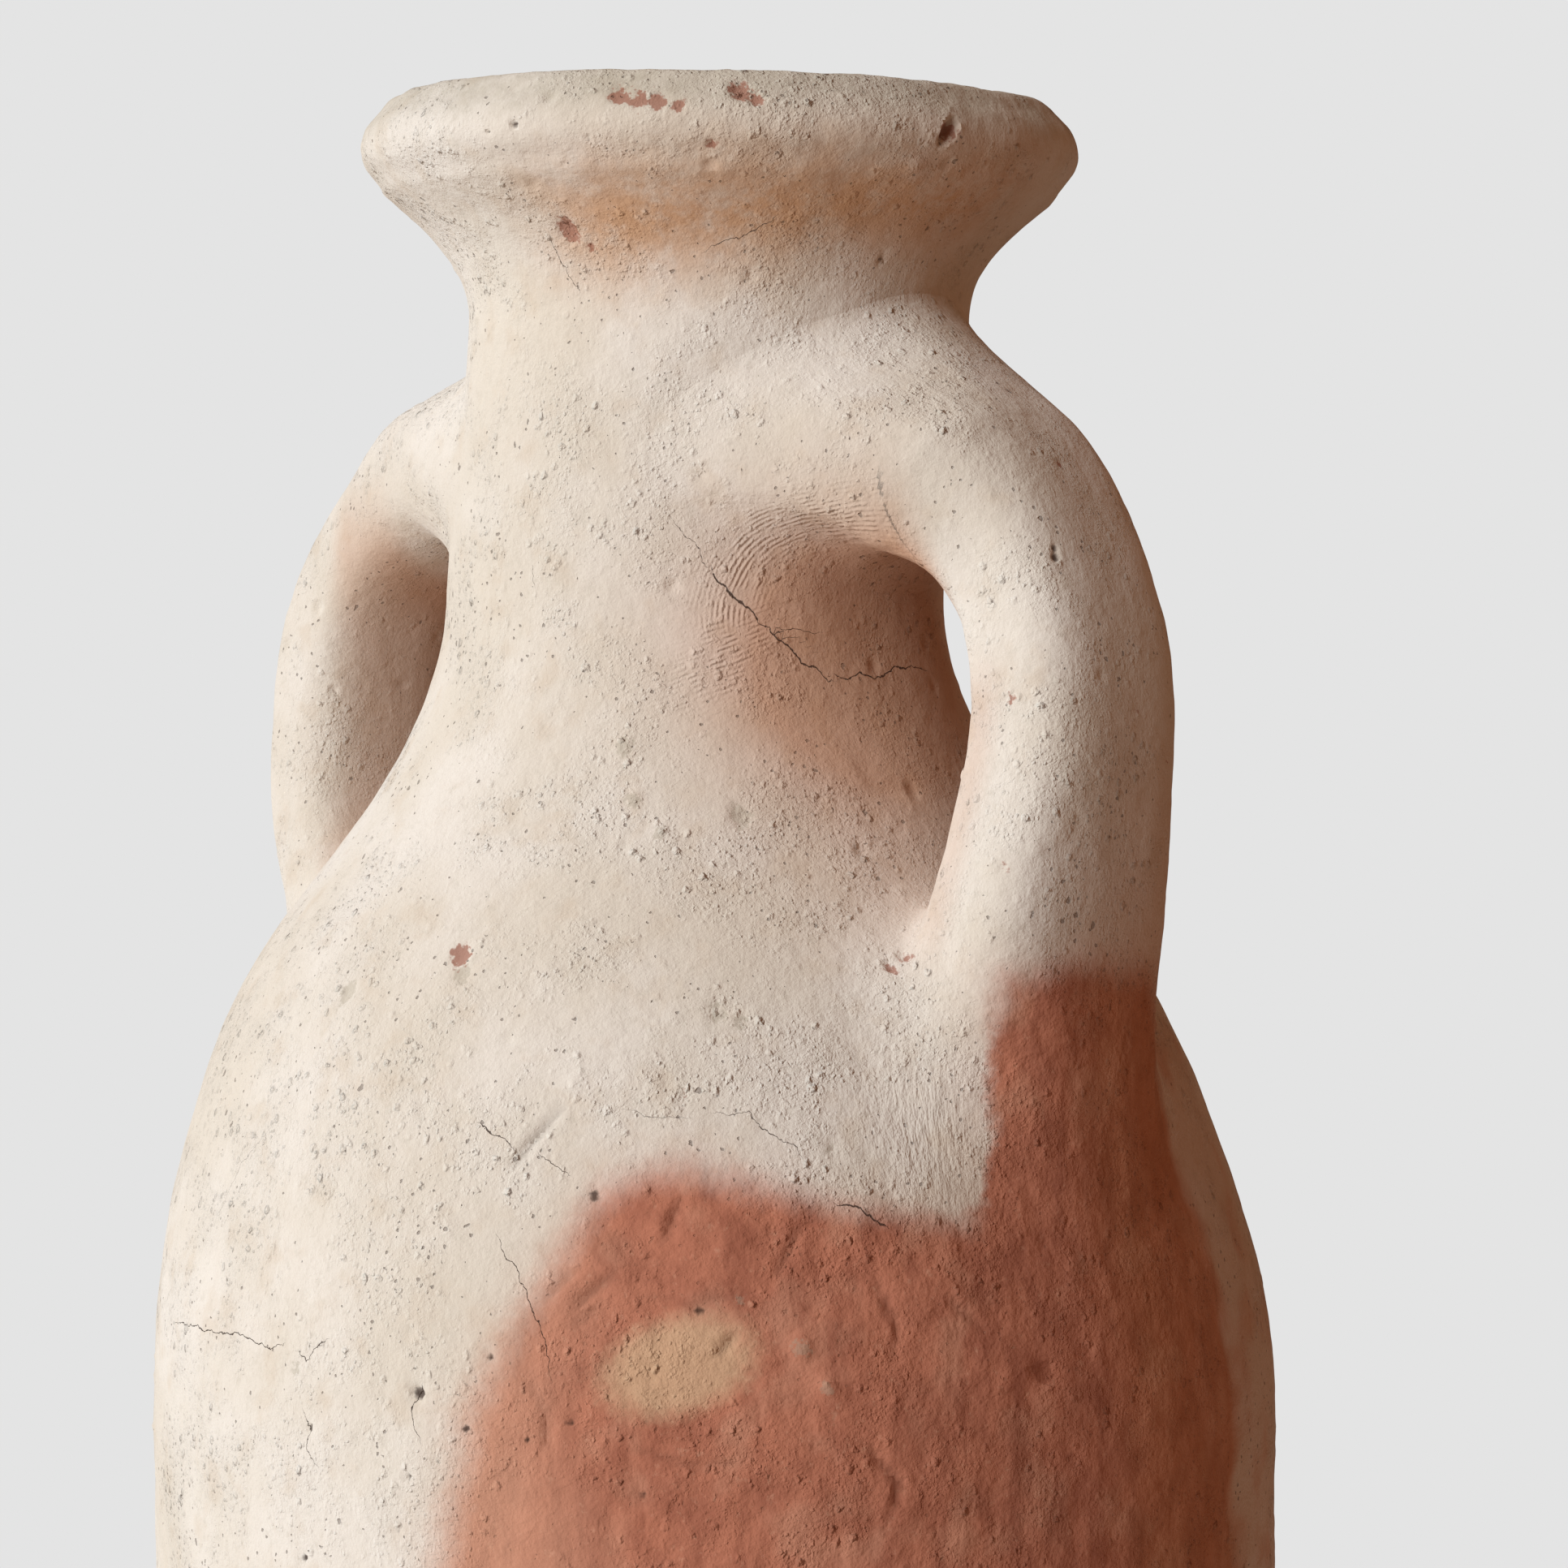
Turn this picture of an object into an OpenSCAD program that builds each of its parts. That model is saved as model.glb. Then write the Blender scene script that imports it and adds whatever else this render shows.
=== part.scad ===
// Two-handled amphora in fired earthenware, as the potter puts it together:
// thrown wall sections with bevelled joints, a slab base, a rolled lip, two
// pulled handles, and the soft clay pressed over every joint.
// Z is up, the origin is the middle of the flat base, the handles lie along X.

/* [Heights] */
// Height from the flat base to the crest of the lip
total_h = 400; // [396:1:404]
// Height of the widest ring of the belly
belly_z = 162; // [150:1:172]
// Height where the shoulder's curve turns hollow
turn_z = 265; // [262:1:268]
// Height where the neck's straight barrel starts
neck_foot_z = 318; // [312:1:322]
// Height where the neck's straight barrel ends
neck_head_z = 364; // [362:1:366]

/* [Widths] */
// Diameter of the flat base
base_d = 100; // [90:1:110]
// Diameter at the widest ring of the belly
belly_d = 185; // [178:1:192]
// Diameter where the shoulder's curve turns hollow
turn_d = 136.8; // [132:0.1:140]
// Outer diameter of the neck's barrel
neck_d = 82; // [78:0.5:86]
// Diameter of the lip at its widest
lip_d = 118; // [114:0.5:122]

/* [Clay] */
// Thickness of the thrown wall
wall_t = 8.5; // [7:0.5:10]
// Thickness of the base slab at its edge
slab_t = 10; // [8:0.5:12]
// Radius round the bottom edge of the base slab
slab_round = 3; // [2:0.5:4]
// Width of the lip's roll across the mouth's wall
lip_w = 12.8; // [12:0.1:14]
// Height of the lip's roll
lip_h = 17.2; // [16:0.1:18]
// How far a pressed seam coil stands in from the wall
coil_t = 2.2; // [1.5:0.1:3]

/* [Handles] */
// Distance from the axis to the middle of a handle at its outermost
handle_reach = 79.7; // [77:0.1:82]
// Thickness of a handle, inside to outside, at mid-height
handle_t = 20.5; // [18:0.5:22]
// Width of a handle across its back at mid-height
handle_w = 29; // [25:0.5:32]
// How far a root wad spreads over the wall
wad_spread = 8; // [4:0.5:9]

/* [Hidden] */

bloom = [0.90, 0.86, 0.79];
bare_clay = [0.72, 0.43, 0.33];
inner_clay = [0.66, 0.44, 0.34];
turned_fn = 96;

// --- Curves -------------------------------------------------------------

function dir(a) = [cos(a), sin(a)];

function bezier(c, t) =
    pow(1 - t, 3) * c[0] + 3 * pow(1 - t, 2) * t * c[1]
    + 3 * (1 - t) * t * t * c[2] + pow(t, 3) * c[3];

function bezier_heading(c, t) =
    let (d = (1 - t) * (1 - t) * (c[1] - c[0]) + 2 * (1 - t) * t * (c[2] - c[1])
        + t * t * (c[3] - c[2]))
    atan2(d[1], d[0]);

// Point on the inner face of a wall that follows the curve c
function inset(c, t) = bezier(c, t) + wall_t * dir(bezier_heading(c, t) + 90);

// --- Outline of the wall -------------------------------------------------

// Steps along each curve, and the sharp-to-soft lengths that shape it
steps = 16;
foot_flare = 1.5;
foot_lean = 65;
foot_hold = 48;
belly_hold_down = 68;
belly_hold_up = 54;
turn_lean = 125.6;
turn_hold_down = 23.4;
turn_hold_up = 16;
neck_hold_down = 21;
neck_hold_up = 8;
throat_hold_up = 12;
lip_join_lean = 36;
lip_join_hold = 10.3;
throat_join_lean = 50;

// Angles round the lip's oval section where the neck's wall meets it
lip_outer_a = -75;
lip_inner_a = 206;

foot = [base_d / 2 + foot_flare, slab_t];
belly = [belly_d / 2, belly_z];
turn = [turn_d / 2, turn_z];
neck_foot = [neck_d / 2, neck_foot_z];
neck_head = [neck_d / 2, neck_head_z];
throat_head = neck_head - [wall_t, 0];

function lip_point(a) =
    [(lip_d - lip_w) / 2 + lip_w / 2 * cos(a), total_h - lip_h / 2 + lip_h / 2 * sin(a)];

lower_curve = [
    foot, foot + foot_hold * dir(foot_lean), belly - [0, belly_hold_down], belly
];
shoulder_curve = [
    belly, belly + [0, belly_hold_up], turn - turn_hold_down * dir(turn_lean), turn
];
hollow_curve = [
    turn, turn + turn_hold_up * dir(turn_lean), neck_foot - [0, neck_hold_down], neck_foot
];
flare_curve = [
    neck_head, neck_head + [0, neck_hold_up],
    lip_point(lip_outer_a) - lip_join_hold * dir(lip_join_lean), lip_point(lip_outer_a)
];
throat_curve = [
    throat_head, throat_head + [0, throat_hold_up],
    lip_point(lip_inner_a) - throat_hold_up * dir(throat_join_lean), lip_point(lip_inner_a)
];

body_curves = [lower_curve, shoulder_curve, hollow_curve];

// Both faces of the wall from the slab to the lip, point for point
outer_face = concat(
    [foot],
    [for (c = body_curves, i = [1 : steps]) bezier(c, i / steps)],
    [for (i = [0 : steps]) bezier(flare_curve, i / steps)]
);
inner_face = concat(
    [inset(lower_curve, 0)],
    [for (c = body_curves, i = [1 : steps]) inset(c, i / steps)],
    [for (i = [0 : steps]) bezier(throat_curve, i / steps)]
);

// Where one wall section ends and the next starts, as steps along the faces
seam_slab = 0;
seam_lower = 10;
seam_belly = 21;
seam_neck = 43;
seam_lip = len(outer_face) - 1;
// A joint's face climbs this many steps from the outside to the inside
bevel = 1;

// --- Wall sections -------------------------------------------------------

module turned(outline) {
    rotate_extrude($fn = turned_fn) polygon(outline);
}

// Wall between two seams; the joints at the slab and the lip are not bevelled
module wall_section(low, high) {
    low_in = low == seam_slab ? low : low + bevel;
    high_in = high == seam_lip ? high : high + bevel;
    turned(concat(
        [for (i = [low : high]) outer_face[i]],
        [for (i = [high_in : -1 : low_in]) inner_face[i]]
    ));
}

// Coil of clay pressed flat over the inside of a seam
module seam_coil(seam) {
    middle = seam + bevel;
    low = inner_face[middle - 1];
    high = inner_face[middle + 1];
    face_in = dir(atan2(high[1] - low[1], high[0] - low[0]) + 90);
    turned([
        low, inner_face[middle], high,
        (low + 3 * high) / 4 + coil_t * face_in,
        (3 * low + high) / 4 + coil_t * face_in
    ]);
}

module base_slab() {
    color(bare_clay) turned(concat(
        [[0, 0]],
        [for (a = [-90 : 15 : 0]) [base_d / 2 - slab_round, slab_round] + slab_round * dir(a)],
        [outer_face[0], inner_face[0], [0, inner_face[0][1]]]
    ));
}

module lower_wall() {
    color(bare_clay) wall_section(seam_slab, seam_lower);
}

module belly_wall() {
    color(bloom) wall_section(seam_lower, seam_belly);
}

module shoulder_wall() {
    color(bloom) wall_section(seam_belly, seam_neck);
}

module neck() {
    color(bloom) wall_section(seam_neck, seam_lip);
}

module rolled_lip() {
    arc_steps = 32;
    sweep = lip_inner_a - lip_outer_a;
    color(bloom) turned([
        for (i = [0 : arc_steps]) lip_point(lip_outer_a + sweep * i / arc_steps)
    ]);
}

module base_seam_coil() {
    bite = 8;
    corner = inner_face[0];
    color(inner_clay) turned([
        corner, inner_face[1], corner + [-bite / 4, bite / 3], corner - [bite, 0]
    ]);
}

module lower_seam_coil() {
    color(inner_clay) seam_coil(seam_lower);
}

module belly_seam_coil() {
    color(inner_clay) seam_coil(seam_belly);
}

module neck_seam_coil() {
    color(inner_clay) seam_coil(seam_neck);
}

// --- Handles -------------------------------------------------------------

sides = 32;
squareness = 0.8;

arch_start_z = 348;
arch_low_z = 293;
leg_end = [75.8, 269.6];
arch_curve = [
    [neck_d / 2, arch_start_z], [neck_d / 2 + 17, arch_start_z - 6],
    [handle_reach, arch_low_z + 30], [handle_reach, arch_low_z]
];
leg_curve = [
    [handle_reach, arch_low_z], [handle_reach, arch_low_z - 10],
    leg_end + [2.7, 7.4], leg_end
];

// Footprints of a handle on the wall: [middle height, half height, half width]
neck_print = [345.5, 15.5, 17];
shoulder_print = [255, 19.5, 19];

wall_heights = [for (p = outer_face) [p[1], p[0]]];

// Point on the wall's outer face at height z and sideways distance y
function on_wall(z, y) =
    let (r = lookup(z, wall_heights)) [sqrt(r * r - y * y), y, z];

function soft_corner(v) = sign(v) * pow(abs(v), squareness);

// Ring of points on the wall; up is 1 where the handle's back faces up
function print_ring(foot_print, up, grow, scale = 1) = [
    for (i = [0 : sides - 1])
        let (a = 360 * i / sides)
        on_wall(
            foot_print[0] + up * scale * (foot_print[1] + grow) * cos(a),
            scale * (foot_print[2] + grow) * sin(a)
        )
];

// Section of the handle square to its middle line
function handle_ring(curve, t, half_t, half_w) =
    let (c = bezier(curve, t), back = dir(bezier_heading(curve, t) + 90))
    [
        for (i = [0 : sides - 1])
            let (
                a = 360 * i / sides,
                p = c + half_t * soft_corner(cos(a)) * back
            )
            [p[0], half_w * soft_corner(sin(a)), p[1]]
    ];

arch_rings = [
    for (t = [0.18 : 0.082 : 0.92])
        handle_ring(arch_curve, t, handle_t / 2 + (1 - t), handle_w / 2 + (1 - t))
];
leg_rings = [
    for (t = [0 : 0.25 : 1])
        handle_ring(leg_curve, t, handle_t / 2 + t / 2, handle_w / 2 + 2 * t)
];
neck_root = print_ring(neck_print, 1, 0);
shoulder_root = print_ring(shoulder_print, -1, 0);

// Skin between rings that follow each other, as triangle pairs
function skin(count) = [
    for (k = [0 : count - 2], i = [0 : sides - 1])
        let (
            j = (i + 1) % sides,
            a = k * sides + i,
            b = k * sides + j
        )
        each [[a, b, a + sides], [b, b + sides, a + sides]]
];

module right_handle_shape() {
    rings = concat(
        [print_ring(neck_print, 1, 0, 0.5), neck_root], arch_rings, leg_rings,
        [shoulder_root, print_ring(shoulder_print, -1, 0, 0.5)]
    );
    count = len(rings);
    points = concat(
        [for (r = rings) each r],
        [on_wall(neck_print[0], 0), on_wall(shoulder_print[0], 0)]
    );
    first_cap = [
        for (i = [0 : sides - 1]) [count * sides, (i + 1) % sides, i]
    ];
    last = (count - 1) * sides;
    last_cap = [
        for (i = [0 : sides - 1]) [count * sides + 1, last + i, last + (i + 1) % sides]
    ];
    polyhedron(points, concat(skin(count), first_cap, last_cap), convexity = 6);
}

// Wad of clay wiped into the corner between a handle's root and the wall
module wad_shape(foot_print, up, root, crest) {
    rings = up == 1
        ? [root, print_ring(foot_print, up, wad_spread), crest, root]
        : [root, crest, print_ring(foot_print, up, wad_spread), root];
    faces = [
        for (f = skin(4)) [for (v = f) v % (3 * sides)]
    ];
    polyhedron([for (k = [0 : 2]) each rings[k]], faces, convexity = 6);
}

module neck_wad_shape() {
    wad_shape(neck_print, 1, neck_root, arch_rings[0]);
}

module shoulder_wad_shape() {
    wad_shape(shoulder_print, -1, shoulder_root, leg_rings[len(leg_rings) - 1]);
}

module handle_right() {
    color(bloom) right_handle_shape();
}

module handle_left() {
    color(bloom) mirror([1, 0, 0]) right_handle_shape();
}

module right_neck_wad() {
    color(bloom) neck_wad_shape();
}

module right_shoulder_wad() {
    color(bare_clay) shoulder_wad_shape();
}

module left_neck_wad() {
    color(bloom) mirror([1, 0, 0]) neck_wad_shape();
}

module left_shoulder_wad() {
    color(bloom) mirror([1, 0, 0]) shoulder_wad_shape();
}

base_slab();
lower_wall();
belly_wall();
shoulder_wall();
neck();
rolled_lip();
base_seam_coil();
lower_seam_coil();
belly_seam_coil();
neck_seam_coil();
handle_right();
handle_left();
right_neck_wad();
right_shoulder_wad();
left_neck_wad();
left_shoulder_wad();
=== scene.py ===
"""Two-handled amphora in unglazed earthenware under a pale chalky bloom.

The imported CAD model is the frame. Every piece of clay here is a closed surface worked out on a
grid, with the unevenness, pits, cracks and finger marks of a hand-made jar in its mesh, and it
stands for the CAD node of the same clay. Lengths are in millimetres until a mesh is written.
"""

import logging
import math
from dataclasses import dataclass, field
from enum import Enum

import bpy
import numpy as np
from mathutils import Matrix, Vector


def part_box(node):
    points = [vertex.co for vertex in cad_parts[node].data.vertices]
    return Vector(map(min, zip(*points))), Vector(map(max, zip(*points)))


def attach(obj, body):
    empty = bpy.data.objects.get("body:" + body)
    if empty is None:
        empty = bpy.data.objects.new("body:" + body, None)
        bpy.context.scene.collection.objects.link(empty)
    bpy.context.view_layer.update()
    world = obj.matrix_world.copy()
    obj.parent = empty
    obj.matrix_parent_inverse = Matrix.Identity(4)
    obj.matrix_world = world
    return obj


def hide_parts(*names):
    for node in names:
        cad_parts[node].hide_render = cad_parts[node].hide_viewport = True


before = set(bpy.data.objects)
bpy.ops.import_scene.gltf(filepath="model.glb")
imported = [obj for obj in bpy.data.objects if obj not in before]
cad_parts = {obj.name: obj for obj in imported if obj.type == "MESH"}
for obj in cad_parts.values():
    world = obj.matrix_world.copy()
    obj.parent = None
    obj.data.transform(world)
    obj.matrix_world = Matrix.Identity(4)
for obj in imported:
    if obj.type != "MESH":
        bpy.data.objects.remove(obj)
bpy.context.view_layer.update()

log = logging.getLogger("amphora")

MM = 0.001
BODY = "root"


# ----------------------------------------------------------------------------- small mathematics


def linear(hex_colour: str) -> tuple[float, float, float, float]:
    """Turn an sRGB hex colour into linear RGBA.

    Args:
        hex_colour: Six hex digits, such as "d9d0c2".

    Returns:
        Red, green and blue in linear light, and an alpha of one.
    """
    parts = [int(hex_colour[i : i + 2], 16) / 255 for i in (0, 2, 4)]
    return (*[c / 12.92 if c <= 0.04045 else ((c + 0.055) / 1.055) ** 2.4 for c in parts], 1.0)


def direction(degrees: float) -> np.ndarray:
    """Return the unit vector at this angle in the plane."""
    return np.array([math.cos(math.radians(degrees)), math.sin(math.radians(degrees))])


def unit(vectors: np.ndarray) -> np.ndarray:
    """Return the vectors at length one."""
    return vectors / np.maximum(np.linalg.norm(vectors, axis=-1, keepdims=True), 1e-12)


def ease(low: float, high: float, value: np.ndarray) -> np.ndarray:
    """Rise smoothly from 0 at low to 1 at high: three squares less two cubes of the fraction."""
    t = np.clip((np.asarray(value, float) - low) / (high - low), 0.0, 1.0)
    return t * t * (3.0 - 2.0 * t)


def hump(value: np.ndarray, centre: float, spread: float) -> np.ndarray:
    """Return a bell of height one round the centre, e to minus the square of the distance."""
    return np.exp(-(((value - centre) / spread) ** 2))


def bezier(control: list, t: np.ndarray) -> np.ndarray:
    """Return points on a cubic curve: its four control points weighted by Bernstein's terms."""
    c = np.asarray(control, float)
    t = np.asarray(t, float)[..., None]
    return (
        (1 - t) ** 3 * c[0] + 3 * (1 - t) ** 2 * t * c[1] + 3 * (1 - t) * t * t * c[2] + t**3 * c[3]
    )


def bezier_normal(control: list, t: np.ndarray) -> np.ndarray:
    """Return the unit normal to the left of a cubic curve's heading."""
    c = np.asarray(control, float)
    t = np.asarray(t, float)[..., None]
    d = (1 - t) ** 2 * (c[1] - c[0]) + 2 * (1 - t) * t * (c[2] - c[1]) + t * t * (c[3] - c[2])
    return unit(np.stack([-d[..., 1], d[..., 0]], -1))


class Outline:
    """A curve in the plane of radius and height, read by its length."""

    def __init__(self, points: np.ndarray) -> None:
        """Store the points with the length up to each, and the heading at each."""
        steps = np.linalg.norm(np.diff(points, axis=0), axis=1)
        keep = np.concatenate([[True], steps > 1e-6])
        self.points = points[keep]
        steps = np.linalg.norm(np.diff(self.points, axis=0), axis=1)
        self.length = np.concatenate([[0.0], np.cumsum(steps)])
        self.headings = unit(np.gradient(self.points, self.length, axis=0))

    @property
    def end(self) -> float:
        """Return the whole length."""
        return float(self.length[-1])

    def at(self, s: np.ndarray) -> np.ndarray:
        """Return the points at these lengths."""
        return np.stack([np.interp(s, self.length, self.points[:, k]) for k in (0, 1)], -1)

    def heading(self, s: np.ndarray) -> np.ndarray:
        """Return the unit headings at these lengths."""
        return unit(np.stack([np.interp(s, self.length, self.headings[:, k]) for k in (0, 1)], -1))

    def right_side(self, s: np.ndarray) -> np.ndarray:
        """Return the unit normals to the right of the heading."""
        h = self.heading(s)
        return np.stack([h[..., 1], -h[..., 0]], -1)

    def nearest(self, point: np.ndarray) -> float:
        """Return the length at the stored point nearest to this one."""
        return float(self.length[np.argmin(np.linalg.norm(self.points - point, axis=1))])


class ClayNoise:
    """Seeded lattice noise in three dimensions, for lumps, and scattered seeds, for pits."""

    TABLE = 256

    def __init__(self, seed: int) -> None:
        """Draw the tables that every later value comes from."""
        rng = np.random.default_rng(seed)
        self.order = rng.permutation(self.TABLE)
        self.slopes = unit(rng.normal(size=(self.TABLE, 3)))
        self.places = rng.random((self.TABLE, 3))
        self.grades = rng.random(self.TABLE)

    def _hash(self, cell: np.ndarray) -> np.ndarray:
        """Return a table index for each whole-number cell, by three chained look-ups."""
        mask = self.TABLE - 1
        h = self.order[cell[..., 0] & mask]
        h = self.order[(h + cell[..., 1]) & mask]
        return self.order[(h + cell[..., 2]) & mask]

    def smooth(self, points: np.ndarray, size: float) -> np.ndarray:
        """Return gradient noise between about -1 and 1.

        Each cell corner has a random slope; the slopes' values at the point are blended with the
        fade 6t^5 - 15t^4 + 10t^3 along each axis.

        Args:
            points: Places in millimetres.
            size: Width of a lump in millimetres.
        """
        q = points / size
        cell = np.floor(q).astype(np.int64)
        f = q - cell
        fade = f**3 * (f * (f * 6 - 15) + 10)
        total = np.zeros(points.shape[:-1])
        for corner in np.ndindex(2, 2, 2):
            at_corner = np.array(corner)
            slope = self.slopes[self._hash(cell + at_corner)]
            weight = np.prod(np.where(at_corner == 1, fade, 1 - fade), axis=-1)
            total += weight * ((f - at_corner) * slope).sum(-1)
        return total * 1.6

    def rough(self, points: np.ndarray, size: float, octaves: int, gain: float = 0.5) -> np.ndarray:
        """Return smooth noise summed over octaves, each half as wide and gain times as high."""
        return sum(gain**k * self.smooth(points + 31.7 * k, size / 2**k) for k in range(octaves))

    def seeds(self, points: np.ndarray, size: float, keep: float) -> tuple[np.ndarray, np.ndarray]:
        """Return the distance to the nearest scattered seed, and that seed's random grade.

        Each cube cell holds one seed at a random place, and a share of the cells is kept.

        Args:
            points: Places in millimetres.
            size: Side of a cell in millimetres.
            keep: Share of cells with a seed, from 0 to 1.
        """
        cell = np.floor(points / size).astype(np.int64)
        best = np.full(points.shape[:-1], 9.0 * size)
        grade = np.zeros(points.shape[:-1])
        for offset in np.ndindex(3, 3, 3):
            c = cell + np.array(offset) - 1
            h = self._hash(c)
            gap = np.linalg.norm((c + self.places[h]) * size - points, axis=-1)
            gap = np.where(self.grades[h] < keep, gap, 9.0 * size)
            grade = np.where(gap < best, self.grades[h] / keep, grade)
            best = np.minimum(best, gap)
        return best, grade


# ----------------------------------------------------------------------------- the jar's shape


@dataclass(frozen=True)
class JarShape:
    """The jar's thrown outline, in millimetres, the same curves as the CAD walls.

    The height, the belly, the lip and the base are read from the frame; the rest are the
    potter's own curve sizes between them.
    """

    height: float
    belly_r: float
    lip_r: float
    base_r: float
    belly_z: float = 162.0
    turn: tuple[float, float] = (68.4, 265.0)
    neck_r: float = 41.0
    neck_foot_z: float = 318.0
    neck_head_z: float = 364.0
    wall: float = 8.5
    slab: float = 10.0
    slab_round: float = 3.0
    lip_w: float = 12.8
    lip_h: float = 17.2
    lip_outer_angle: float = -75.0
    lip_inner_angle: float = 206.0
    steps: int = 48

    @classmethod
    def from_frame(cls) -> "JarShape":
        """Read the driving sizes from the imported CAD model."""
        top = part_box("rolled_lip")[1]
        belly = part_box("belly_wall")[1]
        foot_flare = 1.5
        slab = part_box("base_slab")[1]
        return cls(
            height=round(top.z / MM, 1),
            belly_r=round(belly.x / MM, 1),
            lip_r=round(top.x / MM, 1),
            base_r=round(slab.x / MM - foot_flare, 1),
        )

    def lip_point(self, degrees: np.ndarray) -> np.ndarray:
        """Return points on the lip's oval section, wiped flatter below and above its widest part."""
        a = np.radians(degrees)
        trim = 1 - 0.17 * hump(degrees, -46, 28) - 0.15 * hump(degrees, 48, 30)
        r = self.lip_r - self.lip_w / 2 + self.lip_w / 2 * trim * np.cos(a)
        z = self.height - self.lip_h / 2 + self.lip_h / 2 * trim * np.sin(a)
        return np.stack([r, z], -1)

    def curves(self) -> dict[str, list]:
        """Return the control points of each stretch of the wall, from the foot up."""
        foot = np.array([self.base_r + 1.5, self.slab])
        belly = np.array([self.belly_r, self.belly_z])
        turn = np.array(self.turn)
        neck_foot = np.array([self.neck_r, self.neck_foot_z])
        neck_head = np.array([self.neck_r, self.neck_head_z])
        throat = neck_head - [self.wall, 0]
        lip_out = self.lip_point(np.array(self.lip_outer_angle))
        lip_in = self.lip_point(np.array(self.lip_inner_angle))
        lean = direction(125.6)
        lip_start = unit(self.lip_point(np.array(self.lip_outer_angle + 2)) - lip_out)
        return {
            "lower": [foot, foot + 48 * direction(65), belly - [0, 68], belly],
            "shoulder": [belly, belly + [0, 54], turn - 23.4 * lean, turn],
            "hollow": [turn, turn + 16 * lean, neck_foot - [0, 21], neck_foot],
            "flare": [neck_head, neck_head + [0, 9], lip_out - 9.0 * lip_start, lip_out],
            "throat": [throat, throat + [0, 12], lip_in - 12 * direction(50), lip_in],
        }

    def outer(self) -> Outline:
        """Return the wall's outer face from the slab to the lip's crease."""
        c = self.curves()
        t = np.linspace(0, 1, self.steps)
        barrel = np.linspace(self.neck_foot_z, self.neck_head_z, self.steps)
        straight = np.stack([np.full(self.steps, self.neck_r), barrel], -1)
        parts = [bezier(c[k], t) for k in ("lower", "shoulder", "hollow")]
        return Outline(np.vstack([*parts, straight, bezier(c["flare"], t)]))

    def inner(self) -> Outline:
        """Return the wall's inner face from the slab to the lip, set in by the wall."""
        c = self.curves()
        t = np.linspace(0, 1, self.steps)
        barrel = np.linspace(self.neck_foot_z, self.neck_head_z, self.steps)
        straight = np.stack([np.full(self.steps, self.neck_r - self.wall), barrel], -1)
        parts = [
            bezier(c[k], t) + self.wall * bezier_normal(c[k], t)
            for k in ("lower", "shoulder", "hollow")
        ]
        return Outline(np.vstack([*parts, straight, bezier(c["throat"], t)]))

    def seam(self, curve: str, t: float) -> tuple[np.ndarray, np.ndarray]:
        """Return the outer and the inner corner of a bevelled joint at this place on a curve."""
        c = self.curves()[curve]
        bevel = t + 1 / 16
        return bezier(c, t), bezier(c, bevel) + self.wall * bezier_normal(c, bevel)

    def radius(self, z: np.ndarray) -> np.ndarray:
        """Return the outer radius at this height, below the lip."""
        points = self.outer().points
        return np.interp(z, points[:, 1], points[:, 0])


@dataclass(frozen=True)
class HandMadeSettle:
    """The slow unevenness of the drying jar: a bowed axis, oval rings and a sagging lip.

    Each pair of heights is where a change begins and where it is complete.
    """

    bow_towards: float = -139.0
    bow: float = 3.4
    oval: float = 0.004
    lean: float = 0.4
    tilt: float = 0.65
    fullness: float = 1.2
    shrink: float = 0.47
    sag: float = 0.75
    bow_rise: tuple[float, float] = (188.0, 262.0)
    bow_fall: tuple[float, float] = (318.0, 366.0)
    lean_rise: tuple[float, float] = (60.0, 165.0)
    lean_fall: tuple[float, float] = (300.0, 366.0)
    lip_r: float = 59.0

    def __call__(self, points: np.ndarray) -> np.ndarray:
        """Shift and squeeze each ring by its height.

        The axis bows sideways by a smooth hump between belly and neck, the belly swells a little
        above its widest ring, where it draws in, and the lip sags and dips across the jar.
        """
        x, y, z = points[..., 0], points[..., 1], points[..., 2]
        away = math.radians(self.bow_towards)
        bowed = self.bow * ease(*self.bow_rise, z) * (1 - ease(*self.bow_fall, z))
        shift = bowed + self.lean * ease(*self.lean_rise, z)
        shift = shift - self.lean * ease(*self.lean_fall, z)
        squeeze = self.oval * hump(z, 200, 90)
        r = np.maximum(np.hypot(x, y), 1.0)
        swell = (self.fullness * hump(z, 206, 24) - self.shrink * hump(z, 160, 30)) * ease(60, 80, r) / r
        across = -(x * math.cos(away) + y * math.sin(away)) / self.lip_r
        return np.stack(
            [
                x * (1 - squeeze + swell) + shift * math.cos(away),
                y * (1 + 0.5 * squeeze + swell) + shift * math.sin(away),
                z - (self.tilt * across + self.sag) * ease(330, 392, z),
            ],
            -1,
        )


# ----------------------------------------------------------------------------- wear, marks and painted shade


class Tone(Enum):
    """What a chip lays bare, or, for a dark pit, the painted shade inside its dent."""

    DARK = "dark_pit"
    BARE = "worn_chip"
    GREY = "grey_chip"


@dataclass(frozen=True)
class Chip:
    """A chip or pit at an azimuth in degrees and a height, radius and depth in millimetres.

    A chip on a handle has its distance out from the axis; one on the wall has nought.
    """

    azimuth: float
    height: float
    radius: float
    depth: float
    tone: Tone
    out: float = 0.0


@dataclass(frozen=True)
class Stroke:
    """A line on the wall through (azimuth, height) places: a crack, or a gouge with depth."""

    path: tuple[tuple[float, float], ...]
    width: float
    depth: float = 0.0


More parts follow.
